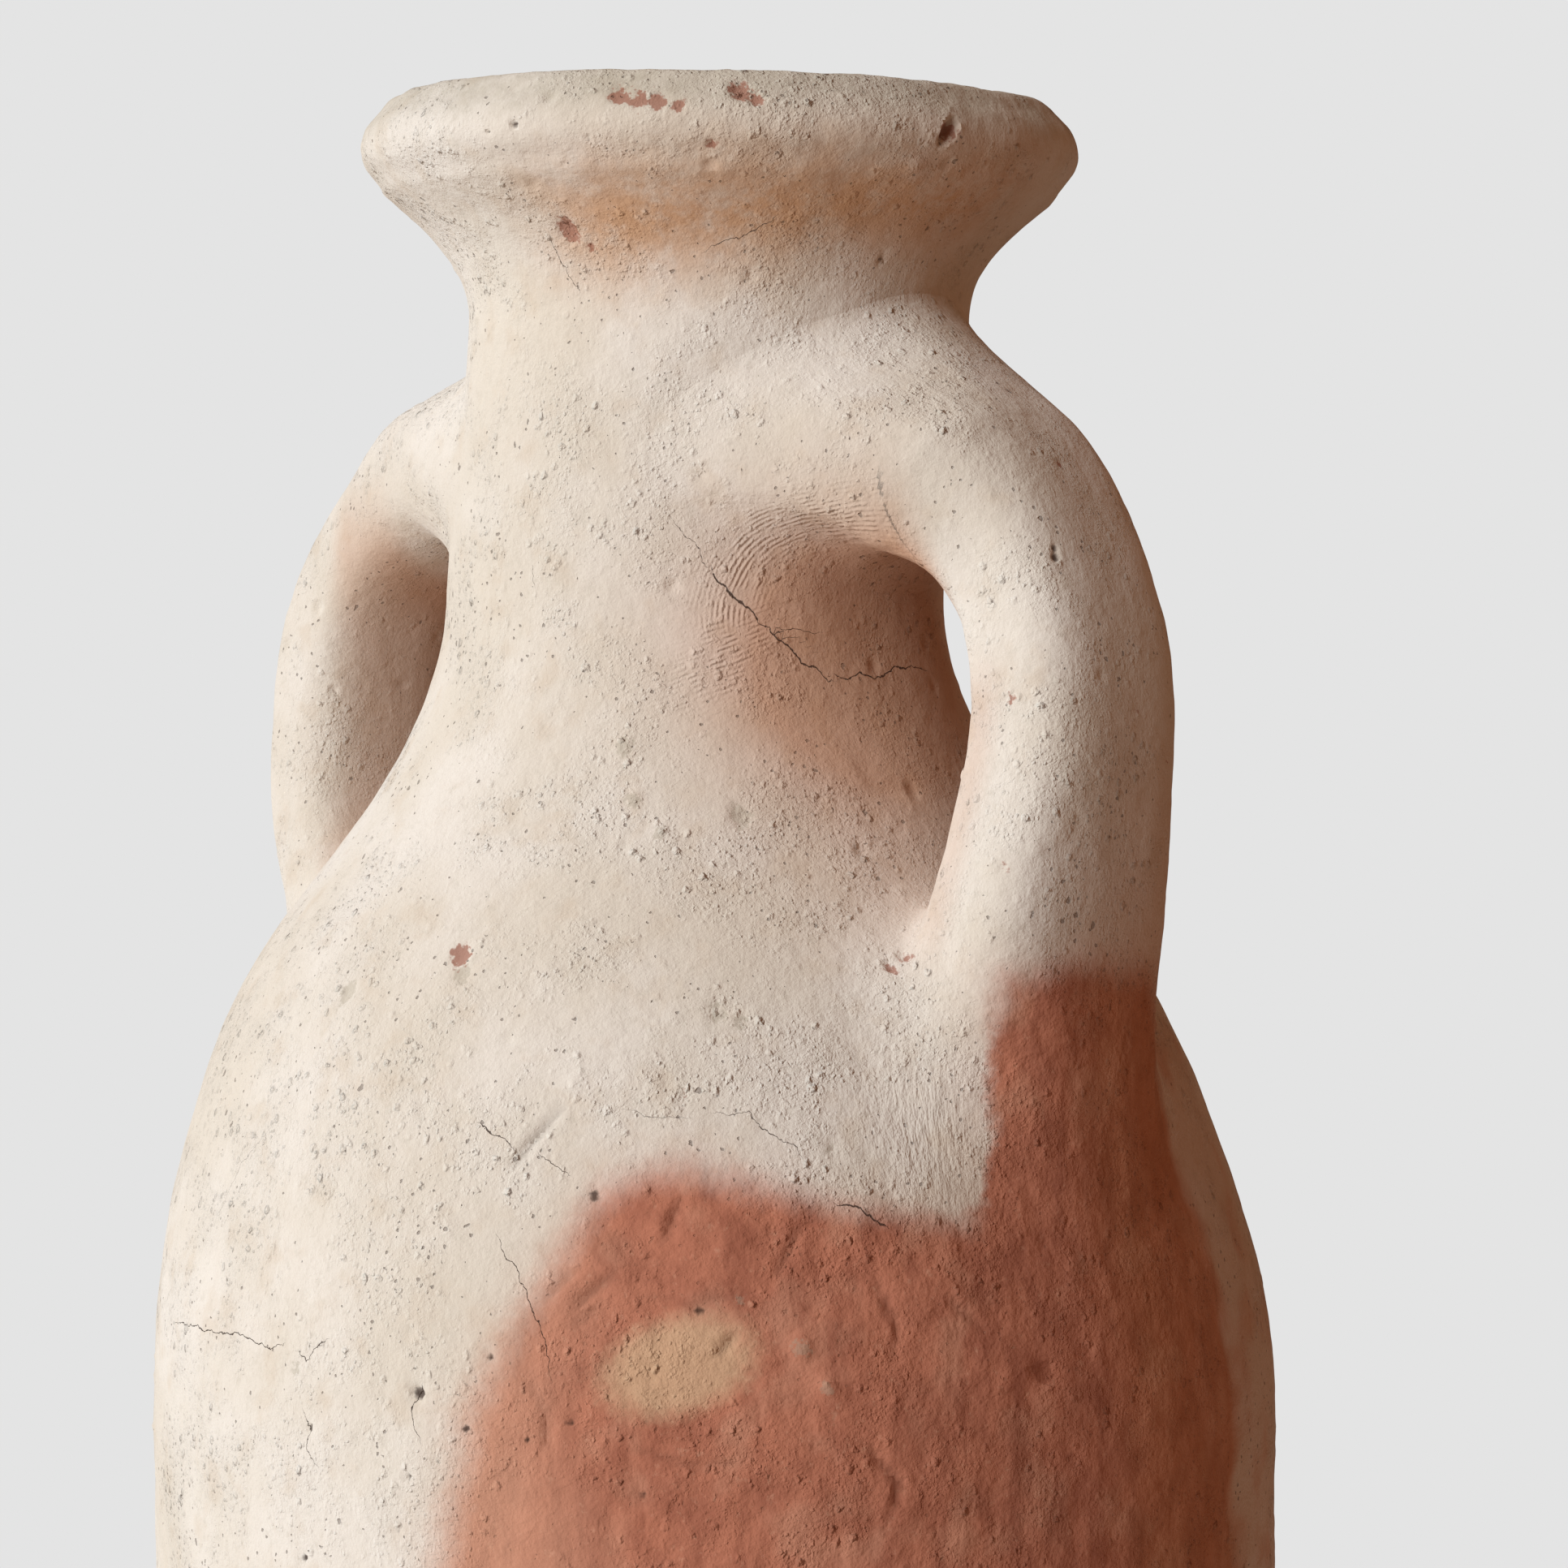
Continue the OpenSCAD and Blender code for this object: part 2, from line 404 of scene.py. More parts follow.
CRACKS = (
    Stroke(((-55.5, 332), (-52, 328.5), (-49.5, 327.3), (-47.4, 324.5), (-44.8, 322.4)), 0.12),
    Stroke(((-45.5, 323.5), (-44, 321.6), (-40.5, 318.6), (-37, 317.2), (-33.5, 314.5)), 0.46),
    Stroke(((-34.5, 315), (-31, 312.8), (-28, 311.4), (-25, 308.5), (-22.3, 308), (-18, 305.6)), 0.36),
    Stroke(
        ((-18, 307), (-14.3, 306.2), (-10.4, 307), (-4.3, 306.3), (0, 307.6), (7.8, 307.9), (13.3, 306.8)),
        0.3,
    ),
    Stroke(((-33.5, 314.3), (-28.7, 313.8), (-25.4, 314.3), (-22.9, 313.4), (-19, 313)), 0.14),
    Stroke(((-12, 332.5), (-10.6, 331.2), (-9.8, 330.6), (-7.7, 329.6)), 0.26),
    Stroke(((-85.5, 375), (-85, 373.4), (-83.2, 368.5), (-80.3, 366.5)), 0.15),
    Stroke(((-53, 372.2), (-46.6, 374), (-40.5, 376.1), (-37.5, 377.8)), 0.16),
    Stroke(((-72.5, 242), (-71, 240.6), (-69.4, 240.3), (-67.4, 238)), 0.18),
    Stroke(((-65.5, 238.6), (-63, 236.4), (-62, 235)), 0.14),
    Stroke(((-47.5, 244), (-43.6, 244.3), (-41.3, 241.2), (-39, 239.6), (-37.4, 236)), 0.13),
    Stroke(((-57, 245), (-53, 243.4), (-49, 243.8)), 0.08),
    Stroke(((-69.5, 227), (-67, 222), (-65.4, 217), (-64.2, 212), (-63.5, 206)), 0.2),
    Stroke(((-35.5, 231.4), (-33.5, 231), (-32.3, 229.8), (-30.4, 227.4)), 0.4),
    Stroke(((-118, 205), (-112, 206), (-107, 206.2), (-102, 207.4), (-96, 206.3), (-94, 208)), 0.22),
    Stroke(((-92, 207), (-90.6, 205.4), (-89.4, 208.4), (-87.6, 209.6)), 0.16),
    Stroke(((-91, 199), (-90, 196.4), (-90.4, 193), (-88.6, 190)), 0.14),
    Stroke(((-76.6, 205), (-77.6, 201), (-76.6, 196)), 0.2),
    Stroke(((-88, 324), (-87, 320)), 0.1),
    Stroke(((-110, 221), (-106, 232), (-101, 239)), 0.06),
    Stroke(((-1, 352), (3, 348), (4, 344)), 0.12),
    Stroke(((150, 300), (158, 296), (163, 297), (170, 292)), 0.2),
    Stroke(((90, 232), (96, 228), (99, 229), (106, 224)), 0.2),
    Stroke(((60, 140), (66, 133), (70, 134), (78, 126)), 0.2),
    Stroke(((-150, 118), (-146, 108), (-147, 100), (-141, 92)), 0.2),
)

GOUGES = (
    Stroke(((-68.4, 235.5), (-66, 240), (-62.6, 245.4)), 1.0, 0.7),
    Stroke(((-61.5, 217), (-57, 222.6)), 1.1, 0.7),
    Stroke(((-53, 225.5), (-50.4, 233.6)), 1.0, 0.6),
    Stroke(((-65, 217), (-60.5, 223.4)), 0.9, 0.45),
    Stroke(((-46, 214.6), (-48.6, 210)), 0.9, 0.6),
    Stroke(((-42.5, 221), (-39, 229)), 0.9, 0.6),
    Stroke(((-62, 214), (-58, 218.4)), 0.9, 0.5),
    Stroke(((-56, 219), (-50, 218), (-45, 219.4)), 0.8, 0.4),
    Stroke(((-66, 208), (-64, 201), (-64.6, 195)), 0.9, 0.5),
    Stroke(((-33, 222), (-31, 214), (-32, 209)), 0.9, 0.5),
    Stroke(((-26, 218), (-22, 212)), 0.9, 0.5),
    Stroke(((-36, 199), (-32, 192), (-33, 186)), 1.0, 0.6),
    Stroke(((-57, 198), (-50, 195), (-46, 196)), 0.9, 0.5),
    Stroke(((-13.6, 388.6), (-10.6, 393.4)), 1.8, 1.1),
    Stroke(((120, 265), (125, 272)), 1.1, 0.5),
    Stroke(((35, 185), (41, 178)), 1.2, 0.5),
    Stroke(((-170, 220), (-165, 228)), 1.1, 0.5),
)

CHIP_PLACES = {
    # Dark pits: the dark colour in these dents is painted shade
    Tone.DARK: (
        (-91, 215, 0.6, 1.0), (-86.8, 217, 0.45, 0.6), (-77, 203.4, 1.2, 1.4), (-90, 196, 0.7, 0.9),
        (-89.6, 187, 0.6, 0.8), (-90.6, 176.4, 0.8, 0.9), (-78, 191, 0.6, 0.8), (-72, 199, 0.8, 0.8),
        (-74, 206.6, 0.5, 0.6), (-75, 194, 0.5, 0.6), (-79.4, 183, 0.6, 0.7), (-81, 391, 0.7, 1.0),
        (-86, 390, 0.4, 0.6), (-69, 388.4, 0.35, 0.5), (-12.6, 372, 0.6, 0.6), (-69.6, 209.6, 0.7, 0.7),
        (-49.6, 217, 0.9, 0.6), (-59.4, 232.6, 1.0, 0.6), (-62, 201, 0.8, 0.6), (-66, 198, 0.7, 0.6),
        (-55.4, 191, 0.8, 0.6), (-14, 192.6, 0.6, 0.7), (-6.4, 325, 0.9, 0.5, 80.0),
        (-6.2, 326.4, 0.7, 0.4, 79.5), (-12.2, 335.5, 0.7, 0.5, 69.5), (-4, 317, 0.5, 0.4, 82.0),
        (2, 294, 0.6, 0.3, 89.0), (165, 150, 1.6, 0.8), (-130, 150, 1.4, 0.9),
    ),
    Tone.BARE: (
        (-80, 265.4, 1.8, 0.5), (-22.6, 265.6, 0.7, 0.5), (-24.4, 264, 0.8, 0.6), (-50, 247, 0.8, 0.5),
        (-50, 387.4, 0.7, 0.5), (-80, 375.6, 1.9, 0.7), (-76, 373, 0.9, 0.4), (-64, 395.2, 1.6, 0.5),
        (-61, 394.4, 1.8, 0.5), (-58, 394.2, 1.7, 0.45), (-55, 393.6, 1.2, 0.4), (-45.6, 396.0, 1.7, 0.7),
        (-43.4, 394.8, 1.3, 0.7), (-12, 391, 1.8, 0.3), (-16.4, 205.8, 2.0, 0.6),
        (0.4, 340, 1.2, 0.4, 72.5), (-15, 332, 0.6, 0.3, 64.5), (-15.5, 338, 0.6, 0.3, 64.5),
        (-12.4, 304, 0.9, 0.4, 79.5), (-4, 312, 0.5, 0.4, 83.5), (-3, 309, 0.6, 0.4, 84.0),
        (1, 302, 0.6, 0.3, 88.0), (6, 294, 0.6, 0.3, 89.0), (-15.8, 279, 0.8, 0.4, 84.0),
        (70, 250, 1.6, 0.6),
    ),
    Tone.GREY: (
        (-78.6, 262.6, 1.6, 0.4), (-46, 258, 1.5, 0.5), (-43, 257, 1.2, 0.4), (-96, 258.4, 1.7, 0.5),
        (-41, 286, 1.9, 0.5), (-62, 296, 1.5, -0.4), (-59, 288, 1.3, -0.4), (-54, 283, 1.2, -0.3),
        (-35, 239, 0.8, 0.6), (-92, 204, 1.0, 0.3), (-45.6, 218.4, 0.8, 0.5), (-40.4, 211.6, 1.5, -0.9),
        (-38.4, 206, 1.2, -0.7), (140, 210, 1.9, 0.7),
    ),
}
# Every chip, from its azimuth, height, radius, depth and, on a handle, distance out
CHIPS = tuple(
    Chip(*place[:4], tone, *place[4:]) for tone, places in CHIP_PLACES.items() for place in places
)

BARE_PATCH = (
    (-75, 150), (-74.6, 178), (-73.8, 189), (-72, 200), (-69.5, 208), (-66.5, 216), (-62.5, 226),
    (-58.5, 233), (-53.5, 236.2), (-49, 236.6), (-44, 234.6), (-37, 230.8), (-30, 230), (-22.5, 227.4),
    (-19.4, 231), (-17.4, 240), (-16.8, 254), (-16.4, 262), (-8, 264.6), (1, 262.6), (6.5, 260.6),
    (14, 259), (24, 256), (34, 240), (34, 160), (20, 118), (-20, 112), (-52, 118), (-70, 132),
)
# Arc length along the wall for one degree of azimuth, at the mean radius of the marked area
DEGREE = 1.45


def polar(points: np.ndarray) -> tuple[np.ndarray, np.ndarray, np.ndarray]:
    """Return azimuth in degrees, distance from the axis and height of each place."""
    azimuth = np.degrees(np.arctan2(points[..., 1], points[..., 0]))
    return azimuth, np.hypot(points[..., 0], points[..., 1]), points[..., 2]


def segment_gap(points: np.ndarray, start: np.ndarray, stop: np.ndarray) -> tuple[np.ndarray, np.ndarray]:
    """Return the nearest point's share along a segment and the offset from it, for each point."""
    along = stop - start
    share = np.clip(((points - start) @ along) / max(float(along @ along), 1e-9), 0.0, 1.0)
    return share, points - (start + share[..., None] * along)


def patch_edge(azimuth: np.ndarray, height: np.ndarray) -> np.ndarray:
    """Return the signed distance to the bare patch's edge, positive inside.

    The patch is a closed outline unrolled onto azimuth times DEGREE and height. The distance is
    the least to any side, and a point is inside if a level ray crosses the sides an odd number
    of times.
    """
    p = np.stack([azimuth * DEGREE, height], -1)
    corners = np.array(BARE_PATCH, float) * [DEGREE, 1.0]
    gap = np.full(azimuth.shape, 1e9)
    inside = np.zeros(azimuth.shape, bool)
    for a, b in zip(corners, np.roll(corners, -1, axis=0)):
        gap = np.minimum(gap, np.linalg.norm(segment_gap(p, a, b)[1], axis=-1))
        spans = (a[1] > p[..., 1]) != (b[1] > p[..., 1])
        rise = b[1] - a[1] if b[1] != a[1] else 1e-9
        inside ^= spans & (p[..., 0] < a[0] + (b[0] - a[0]) * (p[..., 1] - a[1]) / rise)
    return np.where(inside, gap, -gap)


class Weathering:
    """Marks, masks and relief that depend only on the place, so neighbouring pieces agree."""

    REACH = 4.0

    def __init__(self, shape: JarShape) -> None:
        """Keep the jar's shape and draw the noise tables."""
        self.shape = shape
        self.noise = ClayNoise(41)
        self.fine = ClayNoise(7)

    def _on_wall(self, radius: np.ndarray, height: np.ndarray) -> np.ndarray:
        """Return whether places lie on the wall or in the fillets on it, and not on a handle."""
        return np.abs(radius - self.shape.radius(height)) < 9.0

    def _strokes(self, points: np.ndarray, strokes: tuple) -> tuple[np.ndarray, np.ndarray, np.ndarray]:
        """Return each point's signed distance from the nearest stroke, its width and its depth.

        The wall is unrolled at each point's own radius. The distance is positive on the left of
        the stroke, seen from outside. The width tapers to nothing at both ends, as the square
        root of the share times what is left of it.
        """
        az, r, z = polar(points)
        gap = np.full(az.shape, self.REACH)
        side, width, depth = np.ones(az.shape), np.zeros(az.shape), np.zeros(az.shape)
        on_wall = self._on_wall(r, z)
        for stroke in strokes:
            path = np.array(stroke.path, float)
            low, high = path.min(0) - [8, self.REACH], path.max(0) + [8, self.REACH]
            near = on_wall & (az > low[0]) & (az < high[0]) & (z > low[1]) & (z < high[1])
            if not near.any():
                continue
            place = np.stack([np.radians(az[near]) * r[near], z[near]], -1)
            best, left = gap[near], side[near]
            wide, deep = width[near], depth[near]
            for k, (a, b) in enumerate(zip(path[:-1], path[1:])):
                start = np.stack([np.radians(a[0]) * r[near], np.full(len(place), a[1])], -1)
                along = np.stack([np.radians(b[0] - a[0]) * r[near], np.full(len(place), b[1] - a[1])], -1)
                share = np.clip(((place - start) * along).sum(-1) / (along**2).sum(-1), 0, 1)
                offset = place - start - share[:, None] * along
                away = np.linalg.norm(offset, axis=-1)
                run = (k + share) / (len(path) - 1)
                taper = np.sqrt(np.clip(4 * run * (1 - run), 0, 1))
                nearer = away < best
                turn = along[:, 0] * offset[:, 1] - along[:, 1] * offset[:, 0]
                left = np.where(nearer, np.where(turn < 0, -1.0, 1.0), left)
                wide = np.where(nearer, stroke.width * taper, wide)
                deep = np.where(nearer, stroke.depth * taper, deep)
                best = np.where(nearer, away, best)
            gap[near], side[near], width[near], depth[near] = best, left, wide, deep
        return gap * side, width * (1 - ease(1.5, 3.0, gap)), depth

    def _chips(self, points: np.ndarray, tone: Tone) -> tuple[np.ndarray, np.ndarray]:
        """Return the signed distance to the nearest chip's rim, negative inside, and its relief."""
        az, r, z = polar(points)
        on_wall = self._on_wall(r, z)
        edge = np.full(az.shape, self.REACH)
        relief = np.zeros(az.shape)
        for chip in (c for c in CHIPS if c.tone is tone):
            if chip.out:
                centre = [*(chip.out * direction(chip.azimuth)), chip.height]
                gap = np.linalg.norm(points - centre, axis=-1)
            else:
                gap = np.hypot(np.radians(az - chip.azimuth) * r, z - chip.height)
                gap = np.where(on_wall, gap, 99.0)
            edge = np.minimum(edge, gap - chip.radius)
            relief -= chip.depth * (1 - ease(0.35 * chip.radius, 1.35 * chip.radius, gap))
        return edge, relief

    def masks(self, points: np.ndarray) -> dict[str, np.ndarray]:
        """Work out every mask that the finish reads, from the places alone.

        Args:
            points: Grid of places before the jar's settling, in millimetres.

        Returns:
            Attribute name to values: distances in millimetres, or shares from 0 to 1.
        """
        az, r, z = polar(points)
        slow = self.noise.rough(points, 26, 3)
        crack_side, crack_width, _ = self._strokes(points, CRACKS)
        gouge_side, gouge_width, gouge_depth = self._strokes(points, GOUGES)
        bare = patch_edge(az + 1.2 * slow, z + 1.6 * slow)
        behind = ease(3, 15, az) * ease(-40, 0, bare)
        bare = bare * (1 - behind) + behind * (11 * self.noise.rough(points + 200, 13, 3) - 3 - 0.25 * az)
        bare = np.maximum(bare, 6 - 0.9 * z + 3 * slow)
        crisp = hump(az, -20, 7) * ease(226, 232, z) * (1 - ease(252, 260, z)) - 2.2 * behind
        oval = np.stack([(az + 51.8) * 1.58, z - 209.2], -1) @ self._turned(17)
        oval_gap = 1 - np.hypot(oval[..., 0] / 11.2, oval[..., 1] / 6.4)
        off_handle = np.minimum(np.abs(az), 180 - np.abs(az))
        near_side = np.where(np.abs(az) < 90, 1, 0.4)
        # The hollow mask is partly a reddish tint and partly painted shade: under both arches, inside the far
        # handle, on the wall by the near handle's roots and on its outer face.
        under_arch = hump(off_handle, 0, 32) * hump(z, 309, 18) * (1 - ease(58, 66, r)) * near_side
        left_inside = 0.5 * ease(150, 165, np.abs(az)) * ease(52, 58, r) * (1 - ease(66, 73, r))
        left_inside *= ease(258, 275, z) * (1 - ease(325, 342, z))
        below = 0.4 * hump(az, -8, 26) * ease(258, 274, z) * (1 - ease(300, 314, z)) * (1 - ease(74, 80, r))
        smear_and_shade = 0.75 * hump(np.hypot(np.radians(az + 20) * r, z - 313), 0, 21) * (1 - ease(58, 66, r))
        over_patch = 0.5 * ease(-12, 0, az) * (1 - ease(25, 40, az)) * ease(70, 76, r)
        over_patch = over_patch * (1 - ease(262, 322, z))
        wiped = np.where(r < 60, np.hypot(np.radians(az + 20) * r, z - 315.0), 99.0)
        arc_angle = ease(-3.0, 3.0, z - 313 - 0.3 * (az + 45))
        band = np.stack([(az + 43) * 0.74, z - 309.4], -1) @ self._turned(33)
        return {
            "bare": np.clip(bare, -30, 30),
            "crisp": crisp,
            "veil": 0.7 * (1 - ease(-76, -54, az + 5 * slow)) + 0.4 * behind,
            "ochre": np.clip(oval_gap * 7, -6, 6),
            "stain": hump(z, 379 + 0.07 * (az + 40), 9.0) * ease(-100, -66, az) * (1 - ease(-4, 26, az)),
            # Painted shade: greys the lip's crest, which the low side light leaves darker
            "lip_top_shade": ease(391, 398, z + 2 * slow),
            "hollow": np.clip(under_arch * 1.5 + over_patch + left_inside + below + smear_and_shade, 0, 1),
            "wiped": hump(wiped, 16.0, 5.0) * arc_angle * hump(az, -32, 20),
            "wipe_reach": wiped,
            "score_run": band[..., 1] + 0.25 * band[..., 0],
            "scored": hump(band[..., 0], 0, 8.5) * hump(band[..., 1], 0, 4.2) * (1 - ease(48, 56, r)),
            "dragged": hump(az, -25, 7) * hump(z, 240, 13),
            "crack_side": crack_side,
            "crack_width": crack_width,
            "gouge": gouge_depth * (1 - ease(0.2, 1.0, np.abs(gouge_side) / np.maximum(gouge_width, 1e-3))),
            "gouge_rim": gouge_depth * hump(np.abs(gouge_side), 1.5, 0.5),
            **{tone.value: self._chips(points, tone)[0] for tone in Tone},
        }

    @staticmethod
    def _turned(degrees: float) -> np.ndarray:
        """Return the matrix that turns row vectors back by this angle."""
        c, s = direction(degrees)
        return np.array([[c, -s], [s, c]])

    def relief(self, points: np.ndarray, masks: dict[str, np.ndarray]) -> np.ndarray:
        """Return how far the clay stands out at each place, in millimetres.

        Slow unevenness 40 mm wide, lumps 9 and 4 mm wide that are higher on the bare patch,
        pressed crumbs, and the gouges and chips of the marks.
        """
        rough = ease(-2, 5, masks["bare"])
        crust = ease(0.15, 0.75, self.noise.rough(points + 90, 30, 2))
        high = ease(370, 390, points[..., 2])
        shift = 0.42 * self.noise.smooth(points, 42) + 0.2 * self.noise.smooth(points + 50, 19) - 0.22
        lumps = self.noise.rough(points + 11, 9, 3, 0.55)
        shift += (0.13 + 0.12 * rough + 0.10 * crust + 0.12 * high) * lumps
        streaks = points * [1.0, 1.0, 0.34]
        shift += 0.16 * rough * self.noise.rough(streaks + 70, 4.0, 2)
        gap, grade = self.fine.seeds(points, 5.2, 0.5)
        size = 0.8 + 1.1 * grade
        shift += (0.07 + 0.34 * crust + 0.12 * rough) * (1 - ease(0.3, 1.0, gap / size))
        gap, grade = self.noise.seeds(points, 9.0, 0.35)
        size = 0.9 + 1.0 * grade
        shift -= (0.25 + 0.35 * grade) * (1 - ease(0.3, 1.0, gap / size))
        shift += 0.25 * masks["gouge_rim"] - masks["gouge"]
        for tone in Tone:
            shift += self._chips(points, tone)[1]
        az, r, z = polar(points)
        pressed = np.hypot(np.radians(az + 4) * r, z - 317.0)
        shift -= 1.5 * hump(pressed, 0, 13) * (1 - ease(56, 64, r))
        return shift


# ----------------------------------------------------------------------------- meshes


def grid_normals(grid: np.ndarray) -> np.ndarray:
    """Return unit normals of a grid whose columns close on themselves.

    The normal is the step along a column crossed with the step along a row, by centred
    differences.
    """
    around = np.roll(grid, -1, axis=1) - np.roll(grid, 1, axis=1)
    along = np.gradient(grid, axis=0)
    return unit(np.cross(around, along))


@dataclass
class ClayPiece:
    """A closed grid surface on its way to a mesh.

    Attributes:
        name: The piece's name.
        grid: Places in millimetres, rows by columns; the columns close on themselves.
        normals: Outward unit normals at the places.
        cover: How much of the relief each row takes, from 0 on joint faces to 1 outside.
        ring: True if the rows close on themselves too; else both ends are poles.
    """

    name: str
    grid: np.ndarray
    normals: np.ndarray
    cover: np.ndarray
    ring: bool = True
    marks: dict[str, np.ndarray] = field(default_factory=dict)

    def weather(self, weathering: Weathering, settle: HandMadeSettle) -> None:
        """Add the relief along the normals, paint the masks and settle the piece."""
        self.marks = weathering.masks(self.grid)
        lift = weathering.relief(self.grid, self.marks) * self.cover[:, None]
        self.grid = settle(self.grid + lift[..., None] * self.normals)

    def build(self) -> bpy.types.Object:
        """Write the grid to a mesh object with its marks as point attributes.

        Returns:
            The new object, at the origin, with its place in its mesh, in metres.
        """
        self._face_outward()
        rows, columns = self.grid.shape[:2]
        index = np.arange(rows * columns).reshape(rows, columns)
        last = rows if self.ring else rows - 1
        a = index[:last]
        b = np.roll(index, -1, axis=0)[:last]
        quads = np.stack([a, np.roll(a, -1, axis=1), np.roll(b, -1, axis=1), b], -1).reshape(-1, 4)
        places = self.grid.reshape(-1, 3)
        marks = {name: values.reshape(-1) for name, values in self.marks.items()}
        fans = np.zeros((0, 3), int)
        if not self.ring:
            poles = np.stack([self.grid[0].mean(0), self.grid[-1].mean(0)])
            first, final = index[0], index[-1]
            start = np.full(columns, len(places))
            fans = np.concatenate([
                np.stack([start, np.roll(first, -1), first], -1),
                np.stack([start + 1, final, np.roll(final, -1)], -1),
            ])
            places = np.vstack([places, poles])
            marks = {n: np.append(v, [v[0], v[-1]]) for n, v in marks.items()}
        mesh = bpy.data.meshes.new(self.name)
        self._fill(mesh, places * MM, quads, fans)
        for name, values in marks.items():
            layer = mesh.attributes.new(name, "FLOAT", "POINT")
            layer.data.foreach_set("value", values.astype(np.float32))
        mesh.set_sharp_from_angle(angle=math.radians(38))
        piece = bpy.data.objects.new(self.name, mesh)
        bpy.context.scene.collection.objects.link(piece)
        return piece

    def _face_outward(self) -> None:
        """Reverse the columns if the faces would look into the clay."""
        facing = (grid_normals(self.grid) * self.normals).sum(-1)
        if (facing * self.cover[:, None]).sum() < 0:
            self.grid = self.grid[:, ::-1]
            self.marks = {name: values[:, ::-1] for name, values in self.marks.items()}

    @staticmethod
    def _fill(mesh: bpy.types.Mesh, places: np.ndarray, quads: np.ndarray, fans: np.ndarray) -> None:
        """Put places, quads and triangles into an empty mesh."""
        corners = np.concatenate([quads.reshape(-1), fans.reshape(-1)]).astype(np.int32)
        sizes = np.concatenate([np.full(len(quads), 4), np.full(len(fans), 3)])
        starts = np.concatenate([[0], np.cumsum(sizes)[:-1]]).astype(np.int32)
        mesh.vertices.add(len(places))
        mesh.vertices.foreach_set("co", places.astype(np.float32).reshape(-1))
        mesh.loops.add(len(corners))
        mesh.loops.foreach_set("vertex_index", corners)
        mesh.polygons.add(len(sizes))
        mesh.polygons.foreach_set("loop_start", starts)
        mesh.update(calc_edges=True)
        mesh.validate()
        mesh.polygons.foreach_set("use_smooth", np.ones(len(mesh.polygons), bool))


def turned_piece(
    name: str, stretches: list[tuple[np.ndarray, np.ndarray, float]], columns: int, ring: bool = True
) -> ClayPiece:
    """Turn an outline round the jar's axis.

    A point at radius r and height z goes to (r cos a, r sin a, z) for each angle a.

    Args:
        name: The piece's name.
        stretches: For each stretch of outline: points, unit normals and relief cover. The
            outline runs so that the clay is on its left.
        columns: Number of angles.
        ring: True if the outline closes on itself.

    Returns:
        The piece before weathering.
    """
    points = np.vstack([s[0] for s in stretches])
    normals = np.vstack([s[1] for s in stretches])
    cover = np.concatenate([np.full(len(s[0]), s[2]) for s in stretches])
    a = np.linspace(0, 2 * np.pi, columns, endpoint=False)
    c, s = np.cos(a), np.sin(a)
    grid = np.stack([np.outer(points[:, 0], c), np.outer(points[:, 0], s),
                     np.repeat(points[:, 1:], columns, axis=1)], -1)
    out = np.stack([np.outer(normals[:, 0], c), np.outer(normals[:, 0], s),
                    np.repeat(normals[:, 1:], columns, axis=1)], -1)
    return ClayPiece(name, grid, out, cover, ring)


def joint_face(start: np.ndarray, stop: np.ndarray) -> tuple[np.ndarray, np.ndarray, float]:
    """Return the two inner points of a straight joint face, with no relief."""
    share = np.array([[0.33], [0.67]])
    points = start + share * (stop - start)
    across = unit((stop - start)[None])
    normal = np.repeat(np.stack([across[:, 1], -across[:, 0]], -1), 2, axis=0)
    return points, normal, 0.0


